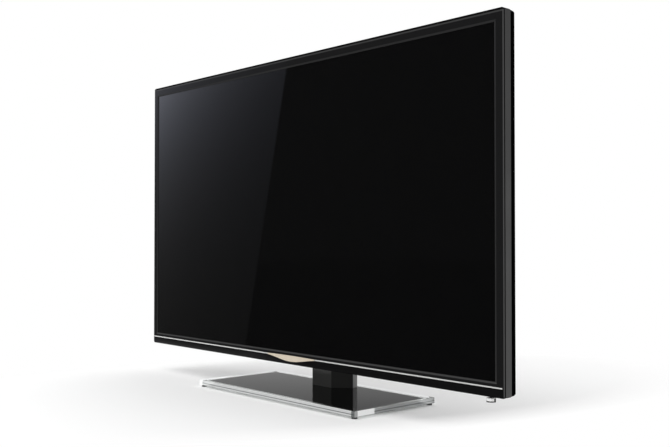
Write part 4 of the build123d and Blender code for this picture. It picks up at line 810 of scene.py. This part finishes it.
class BezelSettings(bpy.types.PropertyGroup):
    edge: length_of("Edge facet", "Width of the facet round the front's outer edge", 1.5)
    edge_drop: length_of("Edge drop", "How far the edge facet slopes back at the outline", 1.0)
    lip_width: length_of("Lip width", "Width of the sloping lip next to the screen", 3.0)
    lip_drop: length_of("Lip drop", "How far the lip slopes back towards the screen", 0.9)
    lip_back: length_of("Lip back", "Depth of the lip's back face behind the front", 1.45)
    skirt: length_of("Skirt", "Depth of the bezel's rim behind its front", 3.4)
    wall: length_of("Wall", "Thickness of the bezel's rim", 1.8)
    side_width: length_of("Side width", "Width of the bezel at the left and right", 17.0)
    top_width: length_of("Top width", "Width of the bezel along the top", 19.5)
    bottom_width: length_of("Bottom width", "Width of the bezel along the bottom", 23.3)
    corner: length_of("Corner radius", "Radius of the four outer corners", 4.0)


class TrimSettings(bpy.types.PropertyGroup):
    bed_depth: length_of("Bed depth", "Depth of the black bed behind each strip", 0.65)
    foot: length_of("Strip foot", "How far the bright strip starts above its bed's foot", 1.2)
    head: length_of("Strip head", "How far the bright strip ends below its bed's head", 0.8)
    corner: length_of("Strip corner", "Radius of the bright strip's corners", 0.4)
    edge: length_of("Strip edge", "Round along the bright strip's edges", 0.2)
    crescent_edge: length_of("Crescent edge", "Round along the crescent's front edges", 0.5)


class BaseSettings(bpy.types.PropertyGroup):
    corner: length_of("Glass corner", "Radius of the glass plate's corners", 3.0)
    edge: length_of("Glass edge", "Round along the glass plate's edges", 0.8)


class KnobSettings(bpy.types.PropertyGroup):
    gap: length_of("Shoe overhang", "How far the shoe stands out round the knob", 0.2)
    rim: length_of("Rim", "Width of the rim round the dished end", 1.2)
    edge: length_of("Head round", "Round along the knob's upper edge", 0.5)
    shoe_height: length_of("Shoe height", "Height of the dark shoe round the knob's end", 1.8)
    shoe_wall: length_of("Shoe wall", "Thickness of the shoe's wall", 1.5)
    # The shoe's raised side is painted shade on the knob's right
    shoe_short: length_of("Shoe side", "How far the shoe's raised side ends short", 2.6)


class ColourSettings(bpy.types.PropertyGroup):
    bezel: colour_of("Bezel", "Polished black of the front", (0.0100, 0.0100, 0.0103))
    # Satin of the lip, also the painted highlight on the edge facet, the top line and the bottom
    # lip
    bezel_satin: colour_of("Lip and facet", "Satin grey of the lip", grey(0.062))
    band: colour_of("Side band", "Grey of the band behind the front", grey(0.032))
    trim: colour_of("Trim", "Bright strips along the lower edge", (0.76, 0.76, 0.75))
    crescent: colour_of("Crescent", "Pale gold of the crescent", (0.82, 0.72, 0.58))
    screen: colour_of("Screen", "Black of the dark screen", (0.0021, 0.0021, 0.0022))
    cover: colour_of("Rear cover", "Black of the cover and its rim", (0.020, 0.020, 0.021))
    neck_front: colour_of("Neck front", "Polished black of the neck", (0.090, 0.090, 0.088))
    neck_back: colour_of("Neck back", "Satin grey of the neck's back", grey(0.21))
    glass: colour_of("Glass", "Faint green of the glass plate", (0.94, 0.97, 0.95))
    ink: colour_of("Ink", "Dark print under the glass", grey(0.004))
    feet: colour_of("Feet", "Rubber of the feet and the knob's shoe", grey(0.045))
    knob: colour_of("Knob", "Pale satin of the control knob", (0.95, 0.95, 0.94))


class StudioSettings(bpy.types.PropertyGroup):
    camera_place: FloatVectorProperty(
        name="Camera place", description="Where the camera stands",
        default=(1.2777, -1.0948, 0.2914), subtype="XYZ", unit="LENGTH",
    )
    camera_azimuth: number_of(
        "Camera azimuth", "Turn from straight on", math.radians(47.823), subtype="ANGLE"
    )
    camera_pitch: number_of(
        "Camera pitch", "Tilt of the camera above level", math.radians(1.01), subtype="ANGLE"
    )
    camera_lens: number_of(
        "Lens", "Focal length on a 36 mm wide sensor", 48.13, subtype="DISTANCE_CAMERA"
    )
    ambient: number_of("Ambient light", "Strength of the light from all around", 0.84)
    key_watts: number_of("Key lamp", "Power of the lamp in front", 36.0, unit="POWER")
    fill_watts: number_of("Fill lamp", "Power of the lamp at the right", 13.0, unit="POWER")


# Stage

FLOOR_SIZE = 16.0
SENSOR_WIDTH = 36.0
LAMP_AIM = (0.0, 0.0, 0.3)
KEY_PLACE, KEY_SIZE = (-1.2, -1.6, 2.6), 2.6
FILL_PLACE, FILL_SIZE = (2.4, 0.2, 1.8), 2.0

VIEW_X, VIEW_Y = 0.74, 0.67
SHADOW_OFFSET = 0.1
SHADOW_NEAR, SHADOW_ACROSS, SHADOW_SLANT = 0.475, 0.75, 0.9
SHADOW_FADE = (0.80, 1.0)
DARK_FRONT_FADE = (-0.24, -0.31)
DARK_BEND, DARK_BEND_START = 0.3, 0.2
DARK_RIGHT_FADE, DARK_NEAR_FADE = (0.04, 0.14), (0.08, 0.0)

SKY_BEHIND_FADE, SKY_RISE_FADE = (-0.35, 0.25), (0.03, 0.20)

SHEEN_CENTRE = (-0.8, -0.35, 0.45)
SHEEN_WIDTH, SHEEN_HEIGHT = 0.7, 0.9
SHEEN_RIGHT_TOP, SHEEN_RIGHT_FOOT = -0.343, -0.560
SHEEN_HEAD, SHEEN_LEFT = 0.6, -1.0
SHEEN_RISE, SHEEN_FALL = 5.066, 3.578
SHEEN_LEAST, SHEEN_MOST = 0.0468, 0.7606
SHEEN_BLUE_FADE = (0.1, 0.6)


def floor_finish():
    """Pale paper that fades to white away from the object, and keeps the object's shadow. To
    reflections it is dark in front and at the near right."""
    finish = shaded("studio_floor", {"Specular IOR Level": 0.0})
    x, y, _ = finish.axes()
    fibre = finish.noise(4 * MM, 2.0)
    finish.colour(finish.blend(fibre, grey(0.95), grey(0.98)))
    finish.roughness(0.9)
    near = (VIEW_X * x - VIEW_Y * y + SHADOW_OFFSET) / SHADOW_NEAR
    across = (VIEW_Y * x + VIEW_X * y) / SHADOW_ACROSS
    reach = (near ** 2.0 + across ** 2.0 + SHADOW_SLANT * near * across) ** 0.5
    glossy = finish.rays("Glossy")
    seen = finish.rays("Camera") + glossy
    white = reach.between(*SHADOW_FADE) * seen + finish.rays("Transmission") * 0.85
    paper = finish.mixed(white, finish.shader, finish.emission(1.0))
    front = (y - DARK_BEND * (x + DARK_BEND_START).lowest(0.0)).between(*DARK_FRONT_FADE)
    beside = x.between(*DARK_RIGHT_FADE) * y.between(*DARK_NEAR_FADE)
    hidden = (front + beside).between(0.0, 1.0) * glossy
    finish.show(finish.mixed(hidden, paper, finish.emission(0.02)))
    return finish.owner


def light_world(ambient):
    """White to the camera and through glass, dim in front and graded behind to reflections."""
    world = bpy.data.worlds.new("studio")
    bpy.context.scene.world = world
    sky = Finish(world)
    _, back, up = sky.parts(sky.node("ShaderNodeTexCoord").outputs["Generated"])
    glossy = sky.rays("Glossy")
    diffuse = sky.rays("Diffuse")
    behind = back.between(*SKY_BEHIND_FADE)
    graded = behind * (0.95 - 0.8 * up.between(*SKY_RISE_FADE)) + (1.0 - behind) * 0.03
    strength = glossy * graded + diffuse * ambient + (1.0 - glossy - diffuse)
    lamp = sky.node("ShaderNodeBackground", {"Color": WHITE, "Strength": strength})
    sky.node("ShaderNodeOutputWorld", {"Surface": lamp.outputs[0]})


def sheen_finish():
    """The glow of a softbox whose light falls off downwards and towards the object."""
    finish = shaded("sheen_glow", {})
    x, _, z = finish.axes()
    slope = SHEEN_RISE * (z - SHEEN_HEAD) - SHEEN_FALL * (x - SHEEN_LEFT)
    glow = SHEEN_LEAST + SHEEN_MOST * slope.power_of_e()
    shade = finish.blend(z.between(*SHEEN_BLUE_FADE), WHITE, (0.95, 0.99, 1.16))
    finish.show(finish.emission(glow, shade))
    return finish.owner


def sheen_card():
    """A card that only reflections show: it makes the sheen on the left of the screen."""
    deselect()
    bpy.ops.mesh.primitive_plane_add(size=1.0, location=SHEEN_CENTRE, rotation=UPRIGHT)
    card = open_piece("sheen_card")
    bpy.ops.mesh.select_all(action="SELECT")
    stretch(SHEEN_CENTRE, x=SHEEN_WIDTH, z=SHEEN_HEIGHT)
    middle = Vector(SHEEN_CENTRE)
    right = middle.x + SHEEN_WIDTH / 2
    for place, above in ((SHEEN_RIGHT_TOP, True), (SHEEN_RIGHT_FOOT, False)):
        pick("VERT", lambda point: point.co.x > middle.x and (point.co.z > middle.z) == above)
        shift(x=place - right)
    bpy.ops.object.mode_set(mode="OBJECT")
    card.data.materials.append(sheen_finish())
    for kind in ("camera", "diffuse", "transmission", "shadow"):
        setattr(card, f"visible_{kind}", False)


def area_lamp(name, place, size, watts):
    """A square lamp that looks at the object and shows in no reflection."""
    lamp = bpy.data.lights.new(name, "AREA")
    lamp.size = size
    lamp.energy = watts
    holder = bpy.data.objects.new(name, lamp)
    bpy.context.scene.collection.objects.link(holder)
    holder.location = place
    aim = Vector(LAMP_AIM) - Vector(place)
    holder.rotation_euler = aim.to_track_quat("-Z", "Y").to_euler()
    holder.visible_glossy = False


class TELEVISION_OT_stage(bpy.types.Operator):
    """Lays the floor, lights the studio and sets up the camera"""

    bl_idname = "television.stage"
    bl_label = "Stage"

    def execute(self, context):
        studio = context.scene.television_studio
        deselect()
        bpy.ops.mesh.primitive_grid_add(x_subdivisions=2, y_subdivisions=2, size=FLOOR_SIZE)
        floor = context.active_object
        floor.name = "studio_floor"
        floor.data.materials.append(floor_finish())
        light_world(studio.ambient)
        sheen_card()
        area_lamp("key_lamp", KEY_PLACE, KEY_SIZE, studio.key_watts)
        area_lamp("fill_lamp", FILL_PLACE, FILL_SIZE, studio.fill_watts)
        camera = bpy.data.objects.new("camera", bpy.data.cameras.new("camera"))
        context.scene.collection.objects.link(camera)
        camera.location = studio.camera_place
        camera.rotation_euler = (math.pi / 2 + studio.camera_pitch, 0.0, studio.camera_azimuth)
        camera.data.sensor_width = SENSOR_WIDTH
        camera.data.lens = studio.camera_lens
        context.scene.camera = camera
        context.scene.view_settings.view_transform = "Standard"
        return {"FINISHED"}


# Pieces

LEAST_CORNER, INNER_CORNER = 0.5 * MM, 0.3 * MM
FACET_EASE, FACET_TURN, FACET_RUN = 0.08 * MM, 0.12 * MM, 0.3 * MM
LIP_RUN, LIP_EASE, LIP_TURN, LIP_FOOT = 0.2 * MM, 0.1 * MM, 0.06 * MM, 0.04 * MM

BED_CORNER = 0.5 * MM
INK_CORNER, INK_LIFT = 1.5 * MM, 0.1 * MM
CRESCENT_MARGIN, CRESCENT_DIP = 0.8 * MM, 0.9 * MM
CRESCENT_COLUMNS = 60
CRESCENT_ROUND_STEPS = 4
SWELL_MIDDLE = 0.1 * MM
SWELL_SHARES = (("SMOOTH", 0.6), ("INVERSE_SQUARE", 0.4))

# Nodes whose edges are eased: the slot, and the width of the ease in millimetres
CASING = (
    ("side_band", "satin_grey", 0.25),
    ("rear_cover", "cover_black", 0.5),
    ("neck_front_cover", "gloss_black", 0.35),
    ("neck_back_cover", "satin_grey", 0.4),
    ("wall_standoffs", "zinc_steel", 0.3),
    ("port_plate", "zinc_steel", 0.2),
    ("hdmi_sockets", "socket_metal", 0.1),
    ("usb_sockets", "socket_metal", 0.1),
    ("mains_inlet", "socket_plastic", 0.3),
)

# The rear rim's section in millimetres: how far it is drawn in, and how far back it stands
RIM_DEPTH = 14.2
RIM_INSIDE = 7.0
RIM_SECTION = (
    (RIM_INSIDE, 0.05), (0.7, 0.05), (0.9, 5.0), (1.4, 9.5), (2.2, 12.0), (3.2, 13.4),
    (4.6, RIM_DEPTH), (RIM_INSIDE, RIM_DEPTH),
)
RIM_CORNER, RIM_LEAST_CORNER, RIM_CORNER_SHARE = 4.0, 1.0, 0.6

KNOB_EDGE_STEPS = 3
KNOB_DISH = ((1.0 * MM, 0.4 * MM), (2.0 * MM, 0.2 * MM))
# The knob's right as seen from the camera, where the shoe stands up as painted shade
SHOE_SHADE_SIDE = Vector((0.67, 0.74, 0.0))
SHOE_SHADE_SHARE = 0.45


def opening_edges(sizes):
    """The side, foot and head of the bezel's opening, as places in the frame."""
    low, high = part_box("front_bezel")
    return high.x - sizes.side_width, low.z + sizes.bottom_width, high.z - sizes.top_width


class TELEVISION_OT_bezel(bpy.types.Operator):
    """Front bezel: a rounded frame with an edge facet, a flat face and a sloping lip"""

    bl_idname = "television.bezel"
    bl_label = "Front bezel"

    def execute(self, context):
        sizes = context.scene.television_bezel
        low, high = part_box("front_bezel")
        wide, tall = high.x - low.x, high.z - low.z
        side, foot, head = opening_edges(sizes)

        def outer(drawn_in, depth):
            corner = max(sizes.corner - drawn_in, LEAST_CORNER)
            centre = (0.0, low.y + depth, (low.z + high.z) / 2)
            return centre, wide - 2 * drawn_in, tall - 2 * drawn_in, corner

        def inner(grown, depth):
            corner = INNER_CORNER + grown / 2
            centre = (0.0, low.y + depth, (foot + head) / 2)
            return centre, 2 * side + 2 * grown, head - foot + 2 * grown, corner

        sections = [
            outer(0.0, sizes.skirt),
            outer(0.0, sizes.edge_drop + FACET_TURN),
            outer(FACET_EASE, sizes.edge_drop),
            outer(sizes.edge, FACET_EASE),
            outer(sizes.edge + FACET_RUN, 0.0),
            inner(sizes.lip_width + LIP_RUN, 0.0),
            inner(sizes.lip_width - LIP_EASE, LIP_TURN),
            inner(LIP_EASE, sizes.lip_drop - LIP_FOOT),
            inner(0.0, sizes.lip_drop + LIP_TURN),
            inner(0.0, sizes.lip_back),
            outer(sizes.wall, sizes.lip_back),
            outer(sizes.wall, sizes.skirt),
        ]
        piece = loft("bezel_moulding", sections, UPRIGHT, closed=True)
        close_piece(piece, "gloss_black", "front_bezel")
        return {"FINISHED"}


def on_front(edge):
    """Whether both faces of an edge look forward."""
    return all(facing(FORWARD)(face) for face in edge.link_faces)


def swell(row, lift, reach):
    """Draws a row of points up or down in a full, smooth swell, most at its middle."""
    pick("VERT", lambda point: not row(point))
    bpy.ops.mesh.hide(unselected=False)
    pick("VERT", lambda point: row(point) and abs(point.co.x) < SWELL_MIDDLE)
    for falloff, share in SWELL_SHARES:
        bpy.ops.transform.translate(
            value=(0.0, 0.0, lift * share), use_proportional_edit=True,
            proportional_edit_falloff=falloff, proportional_size=reach,
        )
    bpy.ops.mesh.reveal()


class TELEVISION_OT_trim(bpy.types.Operator):
    """Two bright strips on dark beds, and the pale gold crescent between them"""

    bl_idname = "television.trim"
    bl_label = "Trim and crescent"

    def execute(self, context):
        sizes = context.scene.television_trim
        for side in ("left", "right"):
            self.strip(sizes, side)
        self.crescent(sizes)
        return {"FINISHED"}

    def strip(self, sizes, side):
        """A dark bed, and on it a bright strip with eased edges."""
        low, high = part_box(f"trim_strip_{side}")
        bed_low = Vector((low.x, high.y - sizes.bed_depth, low.z))
        bed = plate(f"trim_bed_{side}", bed_low, high, BED_CORNER, SHARP_EDGE, Y_AXIS)
        close_piece(bed, "cover_black")
        low.z += sizes.foot
        high.z -= sizes.head
        piece = plate(f"bright_strip_{side}", low, high, sizes.corner, sizes.edge, Y_AXIS)
        close_piece(piece, "bright_trim", f"trim_strip_{side}")

    def crescent(self, sizes):
        """A strip whose lower edge is drawn down in a swell, thickened, with a rounded rim."""
        low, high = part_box("accent_crescent")
        foot, head = (corner.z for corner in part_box("trim_strip_left"))
        foot += CRESCENT_MARGIN
        head -= CRESCENT_MARGIN
        centre = ((low.x + high.x) / 2, high.y, (foot + head) / 2)
        deselect()
        bpy.ops.mesh.primitive_grid_add(
            x_subdivisions=CRESCENT_COLUMNS, y_subdivisions=1, size=1.0, rotation=UPRIGHT,
            location=centre,
        )
        piece = open_piece("crescent_inlay")
        bpy.ops.mesh.select_all(action="SELECT")
        stretch(centre, x=high.x - low.x, z=head - foot)
        reach = (high.x - low.x) / 2
        swell(level(Z_AXIS, foot), low.z - foot, reach)
        swell(level(Z_AXIS, head), high.z - CRESCENT_DIP - head, reach)
        bpy.ops.mesh.select_all(action="SELECT")
        pull(y=low.y - high.y)
        at_front = edges_level(Y_AXIS, low.y)
        pick("EDGE", lambda edge: at_front(edge) and not on_front(edge))
        round_off(sizes.crescent_edge, CRESCENT_ROUND_STEPS)
        face_outwards()
        close_piece(piece, "champagne", "accent_crescent")


class TELEVISION_OT_casing(bpy.types.Operator):
    """Side band, rear cover, neck, standoffs and sockets, each with its edges eased"""

    bl_idname = "television.casing"
    bl_label = "Casing and sockets"

    def execute(self, context):
        for node, slot, edge in CASING:
            softened(node, slot, edge * MM)
        return {"FINISHED"}


class TELEVISION_OT_rim(bpy.types.Operator):
    """Rounded rim that leads from the side band into the rear cover"""

    bl_idname = "television.rim"
    bl_label = "Rear rim"

    def execute(self, context):
        low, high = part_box("side_band")
        sections = []
        for drawn_in, depth in RIM_SECTION:
            centre = (0.0, high.y + depth * MM, (low.z + high.z) / 2)
            size = (high.x - low.x - 2 * drawn_in * MM, high.z - low.z - 2 * drawn_in * MM)
            corner = max(RIM_CORNER - RIM_CORNER_SHARE * drawn_in, RIM_LEAST_CORNER)
            sections.append((centre, *size, corner * MM))
        piece = loft("rear_rim", sections, UPRIGHT, closed=True)
        close_piece(piece, "cover_black")
        return {"FINISHED"}


class TELEVISION_OT_base(bpy.types.Operator):
    """Clear glass base with polished edges, and the ink under it"""

    bl_idname = "television.base"
    bl_label = "Glass base"

    def execute(self, context):
        sizes = context.scene.television_base
        low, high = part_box("glass_base")
        piece = plate("glass_plate", low, high, sizes.corner, sizes.edge, Z_AXIS)
        close_piece(piece, "base_glass", "glass_base")
        low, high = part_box("base_print")
        high.z += INK_LIFT
        piece = plate("inked_panel", low, high, INK_CORNER, SHARP_EDGE, Z_AXIS)
        close_piece(piece, "base_print", "base_print")
        return {"FINISHED"}


class TELEVISION_OT_knob(bpy.types.Operator):
    """Control knob under the right corner: a satin body with a dished end in a dark shoe, raised
    on its right as painted shade
    """

    bl_idname = "television.knob"
    bl_label = "Control knob"

    def execute(self, context):
        sizes = context.scene.television_knob
        low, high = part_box("joystick_cap")
        centre = (low + high) / 2
        height, radius = high.z - low.z, (high.x - low.x) / 2
        body = disc("knob_body", centre, radius - sizes.gap, height)
        pick("FACE", facing(DOWN))
        inset(sizes.rim)
        for width, lift in KNOB_DISH:
            inset(width)
            shift(z=lift)
        pick("EDGE", edges_level(Z_AXIS, high.z))
        round_off(sizes.edge, KNOB_EDGE_STEPS)
        close_piece(body, "knob", "joystick_cap", STICK_BODY)
        place = (centre.x, centre.y, low.z + sizes.shoe_height / 2)
        shoe = disc("knob_shoe", place, radius, sizes.shoe_height)
        pick("FACE", facing(UP))
        inset(sizes.shoe_wall)

        # Painted shade: the dark shoe's wall stands up on the knob's right, darkening that side
        def on_shade_side(face):
            aside = (face.calc_center_median() - centre).dot(SHOE_SHADE_SIDE)
            return facing(UP)(face) and len(face.verts) == 4 and aside > SHOE_SHADE_SHARE * radius

        pick("FACE", on_shade_side)
        pull(z=height - sizes.shoe_short)
        close_piece(shoe, "knob", body=STICK_BODY, finish="foot")
        return {"FINISHED"}


class TELEVISION_OT_finishes(bpy.types.Operator):
    """Gives every piece of the frame that still shows its finish"""

    bl_idname = "television.finishes"
    bl_label = "Finishes"

    def execute(self, context):
        for part in frame["record"]["subparts"]:
            node = frame["nodes"][part["node"]]
            node.data.materials.clear()
            node.data.materials.append(finish_for(part["material_slot"]))
        return {"FINISHED"}


# Panel and registration

class TELEVISION_PT_panel(bpy.types.Panel):
    """The television's sizes and colours, and the buttons that make its pieces"""

    bl_label = "Television"
    bl_idname = "TELEVISION_PT_panel"
    bl_space_type = "VIEW_3D"
    bl_region_type = "UI"
    bl_category = "Television"

    def draw(self, context):
        for name, group in SETTINGS.items():
            box = self.layout.box()
            for field in group.__annotations__:
                box.prop(getattr(context.scene, name), field)
        for operator in OPERATORS:
            self.layout.operator(operator.bl_idname)


SETTINGS = {
    "television_bezel": BezelSettings,
    "television_trim": TrimSettings,
    "television_base": BaseSettings,
    "television_knob": KnobSettings,
    "television_colours": ColourSettings,
    "television_studio": StudioSettings,
}
OPERATORS = (
    TELEVISION_OT_stage,
    TELEVISION_OT_finishes,
    TELEVISION_OT_bezel,
    TELEVISION_OT_trim,
    TELEVISION_OT_casing,
    TELEVISION_OT_rim,
    TELEVISION_OT_base,
    TELEVISION_OT_knob,
)
CLASSES = (*SETTINGS.values(), *OPERATORS, TELEVISION_PT_panel)


def register():
    for each in CLASSES:
        bpy.utils.register_class(each)
    for name, group in SETTINGS.items():
        setattr(bpy.types.Scene, name, PointerProperty(type=group))


def unregister():
    for name in SETTINGS:
        delattr(bpy.types.Scene, name)
    for each in reversed(CLASSES):
        bpy.utils.unregister_class(each)


def main():
    register()
    bpy.ops.television.stage()
    bpy.ops.television.finishes()
    bpy.ops.television.bezel()
    bpy.ops.television.trim()
    bpy.ops.television.casing()
    bpy.ops.television.rim()
    bpy.ops.television.base()
    bpy.ops.television.knob()


if __name__ == "__main__":
    main()
